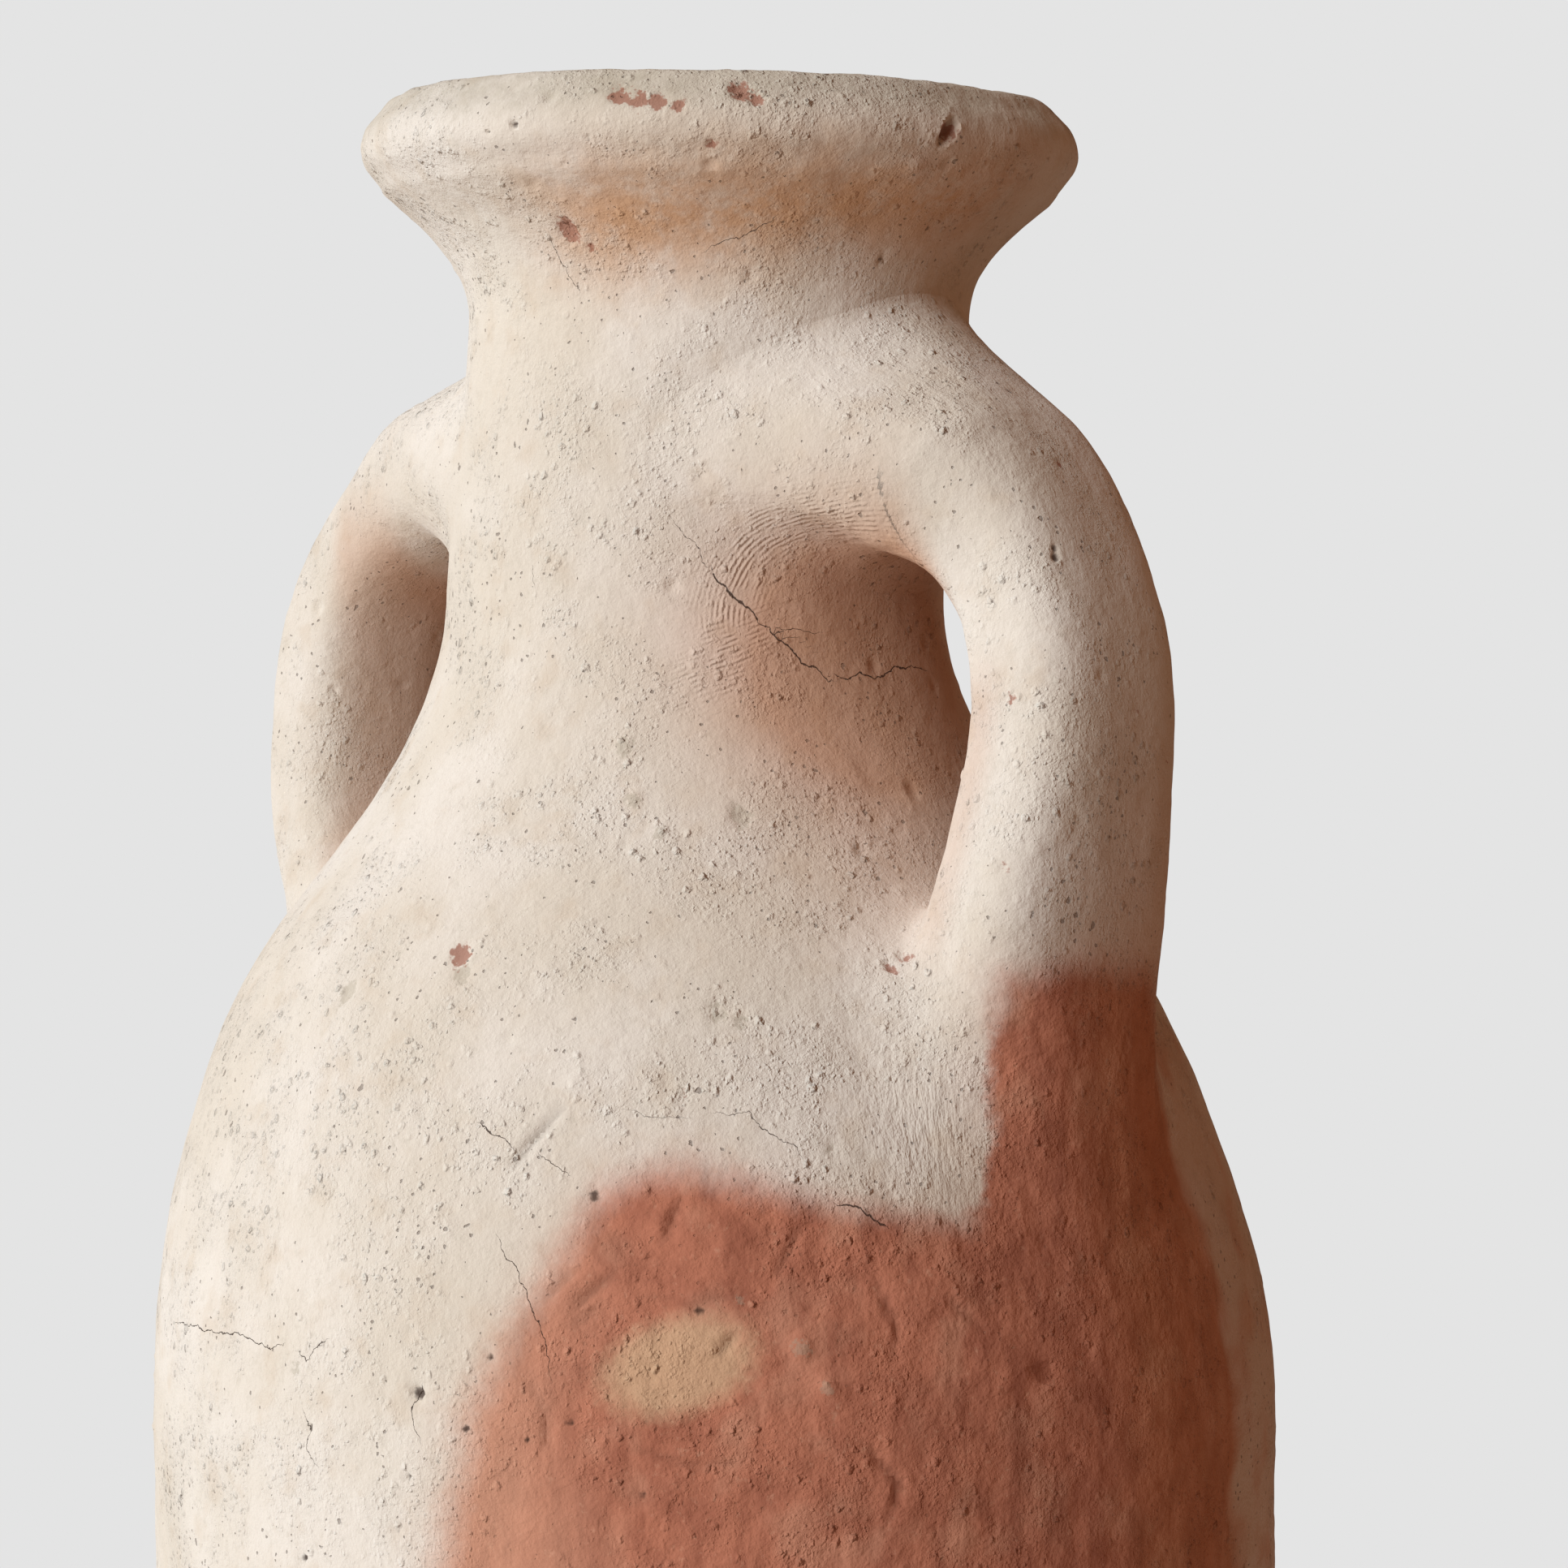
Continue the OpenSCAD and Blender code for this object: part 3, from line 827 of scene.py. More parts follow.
@dataclass
class JarBody:
    """The turned pieces: slab, three wall sections, neck, lip and the pressed seam coils."""

    shape: JarShape
    outer: Outline = field(init=False)
    inner: Outline = field(init=False)
    wall_columns: int = 600
    cell: float = 0.86
    inner_rows: int = 20
    coil_half: float = 7.0
    coil_stand: float = 2.2

    def __post_init__(self) -> None:
        """Work out both faces of the wall once."""
        self.outer = self.shape.outer()
        self.inner = self.shape.inner()

    def _seams(self) -> list[tuple[float, float]]:
        """Return the lengths along the outer and inner face at each seam, from the slab up."""
        places = [self.shape.seam("lower", 10 / 16), self.shape.seam("shoulder", 5 / 16),
                  self.shape.seam("hollow", 11 / 16)]
        found = [(self.outer.nearest(o), self.inner.nearest(i)) for o, i in places]
        return [(0.0, 0.0), *found, (self.outer.end, self.inner.end)]

    def wall(self, name: str, section: int, columns: int, cell: float) -> ClayPiece:
        """Turn the wall between two seams, with both its joint faces.

        Args:
            name: The piece's name.
            section: Number of the section, from the slab up.
            columns: Number of angles.
            cell: Height of a grid cell on the outer face.
        """
        seams = self._seams()
        (low, low_in), (high, high_in) = seams[section], seams[section + 1]
        rows = int((high - low) / cell)
        s = np.linspace(low, high, rows)
        back = np.linspace(high_in, low_in, self.inner_rows)
        face = (self.outer.at(s), self.outer.right_side(s), 1.0)
        hollow = (self.inner.at(back), -self.inner.right_side(back), 0.5)
        top = joint_face(face[0][-1], hollow[0][0])
        bottom = joint_face(hollow[0][-1], face[0][0])
        return turned_piece(name, [face, top, hollow, bottom], columns)

    def lip(self) -> ClayPiece:
        """Turn the lip's oval section and its seat on the flare."""
        shape = self.shape
        a = np.linspace(shape.lip_outer_angle, shape.lip_inner_angle, 78)
        points = shape.lip_point(a)
        along = np.gradient(points, axis=0)
        normals = unit(np.stack([along[:, 1], -along[:, 0]], -1))
        roll = (points, normals, 1.0)
        return turned_piece("clay_lip", [roll, joint_face(points[-1], points[0])], 620)

    def slab(self) -> ClayPiece:
        """Turn the base slab, flat below, round at its edge, bevelled where the wall sits."""
        shape = self.shape
        flat_r = shape.base_r - shape.slab_round
        foot = self.outer.points[0]
        corner = self.inner.points[0]
        r = np.linspace(0.4, flat_r, 60)
        under = (np.stack([r, np.zeros(60)], -1), np.tile([0.0, -1.0], (60, 1)), 0.0)
        a = np.radians(np.linspace(-80, 0, 10))
        bend = np.stack([np.cos(a), np.sin(a)], -1)
        edge = ([flat_r, shape.slab_round] + shape.slab_round * bend, bend, 0.0)
        climb = np.linspace([shape.base_r, shape.slab_round + 0.7], foot, 12)
        rim = (climb, np.tile([1.0, 0.0], (12, 1)), 1.0)
        r = np.linspace(corner[0], 0.4, 50)
        floor = (np.stack([r, np.full(50, corner[1])], -1), np.tile([0.0, 1.0], (50, 1)), 0.5)
        return turned_piece("clay_base", [under, edge, rim, joint_face(foot, corner), floor], 420, ring=False)

    def coil(self, name: str, seam: int) -> ClayPiece:
        """Turn a coil pressed over a seam: a low arch on the inner face, sunk a little into it."""
        middle = self._seams()[seam][1] if seam else self.coil_half
        share = np.linspace(-1, 1, 17)
        s = np.clip(middle + self.coil_half * share, 0, self.inner.end)
        out = -self.inner.right_side(s)
        arch = self.inner.at(s) + out * (self.coil_stand * (1 - share**2) - 0.1)[:, None]
        back = self.inner.at(s[::-1]) - 0.6 * out[::-1]
        return turned_piece(name, [(arch[::-1], out[::-1], 0.8), (back[::-1], -out, 0.0)], 260)

    def pieces(self) -> list[tuple[ClayPiece, str, str]]:
        """Return each turned piece with the CAD node that it stands for and its finish."""
        mesh = (self.wall_columns, self.cell)
        return [
            (self.slab(), "base_slab", "base_clay"),
            (self.wall("clay_lower_wall", 0, 460, 1.15), "lower_wall", "bloomed_clay"),
            (self.wall("clay_belly_wall", 1, *mesh), "belly_wall", "bloomed_clay"),
            (self.wall("clay_shoulder_wall", 2, *mesh), "shoulder_wall", "bloomed_clay"),
            (self.wall("clay_neck", 3, 560, 0.74), "neck", "bloomed_clay"),
            (self.lip(), "rolled_lip", "bloomed_clay"),
            (self.coil("clay_base_seam_coil", 0), "base_seam_coil", "inner_clay"),
            (self.coil("clay_lower_seam_coil", 1), "lower_seam_coil", "inner_clay"),
            (self.coil("clay_belly_seam_coil", 2), "belly_seam_coil", "inner_clay"),
            (self.coil("clay_neck_seam_coil", 3), "neck_seam_coil", "inner_clay"),
        ]


class Side(Enum):
    """Which side of the jar a handle is on, with its middle azimuth in degrees."""

    RIGHT = 0.0
    LEFT = 180.0


@dataclass
class Handle:
    """A pulled handle with a wiped wad at each root, all cut from one flowing surface.

    The free stretch is an oval-square section carried along a bent middle line. At each end a
    Hermite curve leaves the section along the handle and lands on the wall along the wall.
    """

    side: Side
    shape: JarShape
    reach: float = 77.0
    tuck: float = 2.7
    arch_start: float = 342.2
    arch_rise: tuple[float, float] = (8.0, 340.9)
    arch_crown: float = 329.9
    half_thick: float = 11.4
    half_wide: float = 18.1
    squareness: float = 0.64
    root_flare: tuple[float, float] = (14.0, -4.5)
    turn_top: float = 5.0
    turn_low: float = -4.5
    columns: int = 200
    tube_rows: int = 210
    wad_rows: int = 64
    free_from: float = 17.0
    free_to: float = 11.0
    neck_print: tuple[float, float, float] = (343.0, 25.2, 38.5)
    neck_pull: tuple[float, float] = (22.2, 12.0)
    shoulder_print: tuple[float, float, float] = (251.0, 33.0, 36.0)
    shoulder_pull: tuple[float, float] = (26.0, 32.0)
    sunk: float = 0.22
    twist: float = 0.0
    pinch: float = 0.5
    side_pull: float = 28.0

    def _middle(self) -> Outline:
        """Return the handle's middle line in its own plane, from the neck to the shoulder."""
        reach = self.reach
        neck_r, (out, rise) = self.shape.neck_r, self.arch_rise
        arch = [[neck_r, self.arch_start], [neck_r + out, rise], [reach, self.arch_crown], [reach, 293]]
        leg = [[reach, 293], [reach, 283], [reach - 0.24 * self.tuck, 274], [reach - self.tuck, 262]]
        t = np.linspace(0, 1, 60)
        return Outline(np.vstack([bezier(arch, t), bezier(leg, t)]))

    def _turn(self, points: np.ndarray, height: np.ndarray) -> np.ndarray:
        """Turn rings about the jar's axis by the side's azimuth and the handle's lean at this height."""
        extra = self.turn_low + (self.turn_top - self.turn_low) * ease(255, 350, height)
        a = np.radians(self.side.value + extra)
        c, s = np.cos(a), np.sin(a)
        x, y = points[..., 0], points[..., 1]
        return np.stack([x * c - y * s, x * s + y * c, points[..., 2]], -1)

    def _section(self, s: np.ndarray, scale: float = 1.0) -> np.ndarray:
        """Return rings square to the middle line.

        Each ring is centre + thickness * c * back + width * s * sideways, where c and s are the
        cosine and sine of the ring's angle with their size raised to the squareness. The ring is
        then turned about the middle line by the twist.
        """
        line = self._middle()
        share = s / line.end
        thick = self.half_thick + 4.6 * (1 - ease(0, 0.42, share)) + 1.0 * ease(0.8, 1, share)
        flare = (1 - ease(0, 0.46, share)) ** 1.5
        a = np.linspace(0, 2 * np.pi, self.columns, endpoint=False)
        c = np.sign(np.cos(a)) * np.abs(np.cos(a)) ** self.squareness
        w = np.sign(np.sin(a)) * np.abs(np.sin(a)) ** self.squareness
        root = np.where(w < 0, *self.root_flare)
        wide = self.half_wide + flare[:, None] * root + 3.4 * ease(0.62, 1, share)[:, None]
        back = -line.right_side(s)
        centre = line.at(s)
        cos_t, sin_t = direction(self.twist)
        off, side = scale * thick[:, None] * c, scale * wide * w
        off, side = off * cos_t - side * sin_t, off * sin_t + side * cos_t
        rings = np.stack([centre[:, :1] + off * back[:, :1], side, centre[:, 1:] + off * back[:, 1:]], -1)
        return self._turn(rings, centre[:, 1:])

    def _footprint(self, root: tuple[float, float, float], up: float, grow: float, scale: float = 1.0,
                   sink: float = 0.0) -> np.ndarray:
        """Return the oval on the wall where a root lands, as one ring of places."""
        middle, high, wide = root
        a = np.linspace(0, 2 * np.pi, self.columns, endpoint=False)
        z = middle + up * scale * (high + grow) * np.cos(a)
        y = scale * (wide + grow) * np.sin(a)
        r = self.shape.radius(z) - sink
        x = np.sqrt(np.maximum(r * r - y * y, 1.0))
        return self._turn(np.stack([x, y, z], -1), np.full(self.columns, middle))

    def _fillet(
        self, crest: np.ndarray, leaving: np.ndarray, root: tuple, up: float, pull: tuple
    ) -> np.ndarray:
        """Return rows that flow from the handle's crest ring onto the wall.

        Hermite's cubic: the crest and the footprint weighted with 2u^3 - 3u^2 + 1 and
        3u^2 - 2u^3, and the two headings with u^3 - 2u^2 + u and u^3 - u^2. Both pulls shrink by
        the pinch towards the side under the arch, so the hole's ends are rounder.
        """
        u = np.linspace(0, 1, self.wad_rows)[:, None, None]
        landing = self._footprint(root, up, 0.0, sink=self.sunk)
        outward = unit(self._footprint(root, up, 1.0) - self._footprint(root, up, 0.0))
        turn = np.linspace(0, 2 * np.pi, self.columns, endpoint=False)
        pull = (1 - self.pinch * (1 - np.cos(turn)) / 2)[:, None] * pull
        pull[:, 1] += self.side_pull * np.where(np.sin(turn) < 0, 1 - np.cos(turn) ** 6, np.sin(turn) ** 2)
        return (
            (2 * u**3 - 3 * u**2 + 1) * crest + (u**3 - 2 * u**2 + u) * pull[:, :1] * leaving
            + (3 * u**2 - 2 * u**3) * landing + (u**3 - u**2) * pull[:, 1:] * outward
        )

    def surface(self) -> tuple[np.ndarray, np.ndarray]:
        """Return the whole visible surface from the neck to the shoulder, and its normals."""
        line = self._middle()
        s = np.linspace(self.free_from, line.end - self.free_to, self.tube_rows)
        tube = self._section(s)
        first = unit(tube[0] - tube[1])
        final = unit(tube[-1] - tube[-2])
        neck = self._fillet(tube[0], first, self.neck_print, 1.0, self.neck_pull)[::-1]
        shoulder = self._fillet(tube[-1], final, self.shoulder_print, -1.0, self.shoulder_pull)
        grid = np.concatenate([neck[:-1], tube, shoulder[1:]])
        return grid, -grid_normals(grid)

    def _wad(
        self, name: str, rows: np.ndarray, normals: np.ndarray, root: tuple, up: float, s: float
    ) -> ClayPiece:
        """Close the fillet rows, crest first, into a ring of clay round the handle's tenon."""
        tenon = 0.7
        hidden = np.stack([
            self._footprint(root, up, -1.5, sink=1.6),
            self._footprint(root, up, 0.0, scale=0.45, sink=1.6),
            self._section(np.array([s]), tenon)[0],
        ])
        grid = np.concatenate([rows, hidden])
        out = np.concatenate([normals, np.repeat(normals[-1:], 3, axis=0)])
        cover = np.concatenate([np.ones(len(rows)), np.zeros(3)])
        return ClayPiece(name, grid, out, cover)

    def pieces(self) -> list[tuple[ClayPiece, str, str]]:
        """Cut the surface at its crests into the handle and its two wads, with node and finish."""
        side = self.side.name.lower()
        grid, normals = self.surface()
        line = self._middle()
        crest, low_crest = self.wad_rows - 1, len(grid) - self.wad_rows
        s = np.array([self.free_from + 1, line.end - self.free_to - 1])
        core = self._section(s, 0.68)
        neck_core = self._footprint(self.neck_print, 1.0, 0.0, scale=0.42, sink=1.0)
        shoulder_core = self._footprint(self.shoulder_print, -1.0, 0.0, scale=0.42, sink=1.0)
        tube = grid[crest : low_crest + 1]
        parts = [neck_core[None], core[:1], tube, core[1:], shoulder_core[None]]
        out = normals[crest : low_crest + 1]
        body = np.concatenate(parts)
        out = np.concatenate([out[:1], out[:1], out, out[-1:], out[-1:]])
        cover = np.concatenate([[0, 0], np.ones(len(tube)), [0, 0]])
        handle = ClayPiece(f"clay_{side}_handle", body, out, cover, ring=False)
        neck_wad = self._wad(
            f"clay_{side}_neck_wad", grid[crest::-1], normals[crest::-1], self.neck_print, 1.0, s[0])
        shoulder_wad = self._wad(
            f"clay_{side}_shoulder_wad", grid[low_crest:], normals[low_crest:], self.shoulder_print,
            -1.0, s[1])
        return [
            (handle, f"handle_{side}", "bloomed_clay"),
            (neck_wad, f"{side}_neck_wad", "bloomed_clay"),
            (shoulder_wad, f"{side}_shoulder_wad", "bloomed_clay"),
        ]


# ----------------------------------------------------------------------------- finishes


class NodeSheet:
    """One material's or world's node tree, with one method that adds and wires a node."""

    def __init__(self, owner: bpy.types.Material | bpy.types.World) -> None:
        """Start the tree empty."""
        owner.use_nodes = True
        self.tree = owner.node_tree
        self.tree.nodes.clear()

    def add(
        self, kind: str, inputs: dict | None = None, output: int | str = 0, **settings
    ) -> bpy.types.NodeSocket:
        """Add a node, set its properties, wire or set its inputs, and return an output.

        Args:
            kind: Type of node without its ShaderNode prefix.
            inputs: Input name or number to a socket or a plain value.
            output: Output name or number to return.
            **settings: Properties of the node.
        """
        node = self.tree.nodes.new("ShaderNode" + kind)
        for key, value in settings.items():
            setattr(node, key, value)
        for key, value in (inputs or {}).items():
            if isinstance(value, bpy.types.NodeSocket):
                self.tree.links.new(value, node.inputs[key])
            else:
                node.inputs[key].default_value = value
        return node.outputs[output] if node.outputs else None

    def math(self, operation: str, a, b=0.0, c=0.0) -> bpy.types.NodeSocket:
        """Return a sum, product or other operation on plain values or sockets."""
        return self.add("Math", {0: a, 1: b, 2: c}, operation=operation)

    def ramp(self, value, low, high, start=0.0, stop=1.0) -> bpy.types.NodeSocket:
        """Return value eased from start at low to stop at high."""
        ends = {0: value, 1: low, 2: high, 3: start, 4: stop}
        return self.add("MapRange", ends, interpolation_type="SMOOTHSTEP")

    def blend(self, share, under, over, mode: str = "MIX") -> bpy.types.NodeSocket:
        """Return one colour laid over another by a share."""
        colours = {0: share, 6: under, 7: over}
        return self.add("Mix", colours, output=2, data_type="RGBA", blend_type=mode)

    def mark(self, name: str) -> bpy.types.NodeSocket:
        """Return a mask that the mesh carries."""
        return self.add("Attribute", output="Fac", attribute_name=name)

    def grain(
        self, size: float, detail: float = 2.0, rough: float = 0.55, stretch=None
    ) -> bpy.types.NodeSocket:
        """Return noise between 0 and 1 whose lumps are this many millimetres wide."""
        place = self.add("TexCoord", output="Object")
        if stretch:
            place = self.add("Mapping", {"Vector": place, "Scale": stretch})
        settings = {"Vector": place, "Scale": 1 / (size * MM), "Detail": detail, "Roughness": rough}
        return self.add("TexNoise", settings)

    def specks(self, size: float, output: str = "Distance") -> bpy.types.NodeSocket:
        """Return the distance to, or the colour of, the nearest scattered seed, in cells of this size."""
        place = self.add("TexCoord", output="Object")
        noise = {"Vector": place, "Scale": 2.2 / (size * MM), "Detail": 2.0}
        ragged = self.add("TexNoise", noise, output="Color")
        offset = self.add("VectorMath", {0: ragged, 1: (-0.5, -0.5, -0.5)}, operation="ADD")
        nudge = {0: offset, 1: (0.55 * size * MM,) * 3, 2: place}
        place = self.add("VectorMath", nudge, operation="MULTIPLY_ADD")
        return self.add("TexVoronoi", {"Vector": place, "Scale": 1 / (size * MM)}, output=output)


@dataclass(frozen=True)
class BloomedEarthenware:
    """Coarse red earthenware, open fired, under a thin chalky bloom of lime and fine sand.

    The bloom is matt and pale with tan and greyish clouds. It is worn through in a soft-edged
    patch, on the lip and in chips, where the red clay shows. Its colour also carries painted shade:
    a reddish tint with shade in the hollows by the handles, grey on the lip's crest, and dark in the
    dark pits, the pores and the gouges.
    """

    name: str = "earthenware_with_lime_bloom"
    bloom_light: str = "eee6db"
    bloom_mid: str = "e6dccd"
    bloom_tan: str = "d9c6ae"
    bloom_grey: str = "cdc5b4"
    clay: str = "ca8569"
    clay_deep: str = "b06e56"
    clay_light: str = "dca98c"
    clay_dark: str = "a2614a"
    chalk_oval: str = "dcb995"
    stain: str = "d49e6c"
    # Reddish tint with painted shade, for the hollows by the handles
    hollow: str = "c98856"
    worn: str = "a8674e"
    # Painted shade for the pores and the gouges
    pit: str = "5f4435"
    # Painted shade for the dark pits, and the cracks' own dark line
    dark: str = "4a3328"
    # Grey of the grey chips, and painted shade on the lip's crest
    grey_and_crest_shade: str = "b3a993"
    roughness: float = 0.93

    def make(self) -> bpy.types.Material:
        """Build the material."""
        material = bpy.data.materials.new(self.name)
        s = NodeSheet(material)
        wide, mid, fine = s.grain(34, 3), s.grain(7, 3), s.grain(1.5, 3, 0.65)
        colour, bare = self._bloom_and_clay(s, wide, mid, fine)
        colour = self._stains(s, colour, mid, fine)
        pores = s.math("MULTIPLY", self._pores(s), s.math("MULTIPLY_ADD", bare, -0.6, 1.0))
        colour, crack = self._breaks(s, colour)
        # Painted shade: the pores are darkened with the pit colour
        colour = s.blend(s.math("MULTIPLY", pores, 0.5), colour, linear(self.pit))
        height = self._grit(s, bare, pores, crack)
        normal = s.add("Bump", {"Height": height, "Distance": MM, "Strength": 1.0})
        surface = s.add(
            "BsdfPrincipled",
            {"Base Color": colour, "Roughness": self.roughness, "Specular IOR Level": 0.25,
             "Diffuse Roughness": 0.6, "Normal": normal},
        )
        s.add("OutputMaterial", {"Surface": surface})
        return material

    def _pores(self, s: NodeSheet) -> bpy.types.NodeSocket:
        """Return the share of dark specks: few 0.5 mm pits and many finer ones, in drifts."""
        drift = s.ramp(s.grain(18, 3), 0.38, 0.66)
        total = 0.0
        for size, rare, most in ((3.1, 0.68, 0.17), (1.2, 0.5, 0.25)):
            pick = s.add("SeparateColor", {"Color": s.specks(size, "Color")})
            picked = s.math("ADD", pick, s.math("MULTIPLY_ADD", drift, 0.3, -0.2))
            reach = s.ramp(picked, rare, 1.0, 0.0, most)
            share = s.ramp(s.specks(size), s.math("MULTIPLY", reach, 0.6), reach, 1.0, 0.0)
            total = s.math("MAXIMUM", total, s.math("MULTIPLY", share, s.ramp(reach, 0.01, 0.06)))
        return total

    def _bloom_and_clay(self, s: NodeSheet, wide, mid, fine) -> tuple:
        """Lay the clouded bloom over the mottled clay, and return the colour and the bare share."""
        bloom = s.blend(s.ramp(wide, 0.35, 0.62), linear(self.bloom_light), linear(self.bloom_mid))
        bloom = s.blend(s.math("MULTIPLY", s.ramp(mid, 0.5, 0.75), 0.35), bloom, linear(self.bloom_tan))
        bloom = s.blend(s.math("MULTIPLY", s.ramp(fine, 0.52, 0.72), 0.22), bloom, linear(self.bloom_grey))
        clay = s.blend(s.ramp(mid, 0.38, 0.7, 0.0, 0.7), linear(self.clay), linear(self.clay_deep))
        clouds = s.math("MULTIPLY", s.ramp(s.grain(11, 2), 0.5, 0.7), 0.35)
        clay = s.blend(clouds, clay, linear(self.clay_light))
        streaks = s.ramp(s.grain(6, 4, 0.62, (1.0, 1.0, 0.3)), 0.47, 0.7, 0.0, 0.75)
        clay = s.blend(streaks, clay, linear(self.clay_dark))
        clay = s.blend(s.math("MULTIPLY", s.ramp(fine, 0.58, 0.78), 0.5), clay, linear(self.clay_light))
        clay = s.blend(s.mark("veil"), clay, linear(self.clay_light))
        edge = s.math("ADD", s.mark("bare"), s.math("MULTIPLY_ADD", fine, 2.4, -1.2))
        edge = s.math("ADD", edge, s.math("MULTIPLY_ADD", mid, 2.4, -1.2))
        soft = s.math("MULTIPLY_ADD", s.mark("crisp"), -3.2, 4.2)
        bare = s.ramp(edge, s.math("MULTIPLY", soft, -1.0), soft)
        halo = s.math("MULTIPLY", s.ramp(edge, -9.0, 1.0), 0.16)
        ochre = s.ramp(s.math("ADD", s.mark("ochre"), s.math("MULTIPLY_ADD", fine, 3.0, -1.5)), -2.4, 2.4)
        clay = s.blend(s.math("MULTIPLY", ochre, 0.84), clay, linear(self.chalk_oval))
        colour = s.blend(halo, bloom, linear(self.clay_light))
        return s.blend(bare, colour, clay), bare

    def _stains(self, s: NodeSheet, colour, mid, fine) -> bpy.types.NodeSocket:
        """Tint the band under the lip, lay a reddish tint with painted shade in the hollows by the handles,
        and grey the lip's crest with painted shade.
        """
        patchy = s.ramp(s.math("ADD", mid, s.math("MULTIPLY", fine, 0.6)), 0.5, 0.95, 0.5, 1.0)
        stain = s.math("MULTIPLY", s.math("MULTIPLY", s.mark("stain"), patchy), 0.8)
        colour = s.blend(stain, colour, linear(self.stain))
        # Painted shade with a reddish tint in the hollows by the handles
        colour = s.blend(s.math("MULTIPLY", s.mark("hollow"), 0.66), colour, linear(self.hollow))
        # Painted shade greying the lip's crest
        lip_top_shade = s.math("MULTIPLY", s.math("MULTIPLY", s.mark("lip_top_shade"), patchy), 0.5)
        return s.blend(lip_top_shade, colour, linear(self.grey_and_crest_shade))

    def _breaks(self, s: NodeSheet, colour) -> tuple:
        """Paint the chips and cracks, and painted shade in the dark pits and the gouges, and return the
        colour and the crack share.
        """
        wobble = s.math("MULTIPLY_ADD", s.grain(2.2, 2, 0.6), 2.6, -1.3)
        wobble = s.math("ADD", wobble, s.math("MULTIPLY_ADD", s.grain(0.8, 2, 0.6), 2.4, -1.2))
        tones = (
            ("grey_chip", self.grey_and_crest_shade, 0.36, 1.0),
            ("worn_chip", self.worn, 0.75, 1.0),
            # The dark pits' colour is painted shade inside their dents
            ("dark_pit", self.dark, 0.85, 0.2),
        )
        for mark, tone, most, ragged in tones:
            edge = s.math("ADD", s.mark(mark), s.math("MULTIPLY", wobble, ragged))
            share = s.ramp(edge, -0.5, 0.05, most, 0.0)
            colour = s.blend(share, colour, linear(tone))
        # Painted shade inside the gouges
        colour = s.blend(s.math("MULTIPLY", s.mark("gouge"), 0.4), colour, linear(self.pit))
        wander = s.math("MULTIPLY_ADD", s.grain(3.0, 3, 0.62), 2.0, -1.0)
        wander = s.math("ADD", wander, s.math("MULTIPLY_ADD", s.grain(1.1, 2, 0.6), 0.8, -0.4))
        gap = s.math("ABSOLUTE", s.math("ADD", s.mark("crack_side"), wander))
        width = s.math("MULTIPLY", s.mark("crack_width"), 0.3)
        crack = s.ramp(gap, s.math("MULTIPLY", width, 0.4), s.math("MULTIPLY", width, 1.5), 1.0, 0.0)
        crack = s.math("MULTIPLY", crack, s.ramp(width, 0.005, 0.04))
        return s.blend(s.math("MULTIPLY", crack, 0.9), colour, linear(self.dark)), crack

    def _grit(self, s: NodeSheet, bare, pores, crack) -> bpy.types.NodeSocket:
        """Return the fine relief in millimetres: grit, sand, finger waves, score marks, pores, cracks."""
        crust = s.ramp(s.grain(15, 4, 0.6), 0.42, 0.62, 0.12, 1.0)
        height = s.math("MULTIPLY", s.grain(0.55, 3, 0.75), s.math("MULTIPLY_ADD", crust, 0.18, 0.12))
        flakes = s.ramp(s.grain(2.2, 3, 0.6), 0.5, 0.6, 0.0, 0.09)
        height = s.math("MULTIPLY_ADD", flakes, crust, height)
        for size, rare, most in ((0.9, 0.25, 0.36), (2.1, 0.4, 0.85)):
            pick = s.ramp(s.specks(size, "Color"), rare, 0.85, 0.0, most)
            bead = s.math("MULTIPLY", s.ramp(s.specks(size), 0.04, 0.40, 1.0, 0.0), pick)
            height = s.math("MULTIPLY_ADD", bead, crust, height)
        lumps = s.math("MULTIPLY", s.grain(2.6, 3, 0.55), s.math("MULTIPLY_ADD", bare, 0.25, 0.38))
        height = s.math("ADD", height, lumps)
        waves = (
            ("wipe_reach", (8, 3), 9.0, "wiped", 2.6, 0.38, 0.13),
            ("score_run", (6, 2), 6.0, "scored", 2.5, 0.42, 0.16),
        )
        for run, drift, wander, share, gaps, rare, most in waves:
            phase = s.math("MULTIPLY", s.mark(run), 7.5)
            phase = s.math("ADD", phase, s.math("MULTIPLY", s.grain(*drift), wander))
            wave = s.math("MULTIPLY", s.math("SINE", phase), s.mark(share))
            broken = s.ramp(s.grain(gaps, 2), rare, 0.62, 0.0, most)
            height = s.math("ADD", height, s.math("MULTIPLY", wave, broken))
        drag = s.math("MULTIPLY", s.grain(0.8, 2, 0.6, (1.0, 1.0, 0.07)), s.mark("dragged"))
        height = s.math("ADD", height, s.math("MULTIPLY", drag, 0.5))
        height = s.math("SUBTRACT", height, s.math("MULTIPLY", pores, 0.3))
        return s.math("SUBTRACT", height, s.math("MULTIPLY", crack, 0.8))


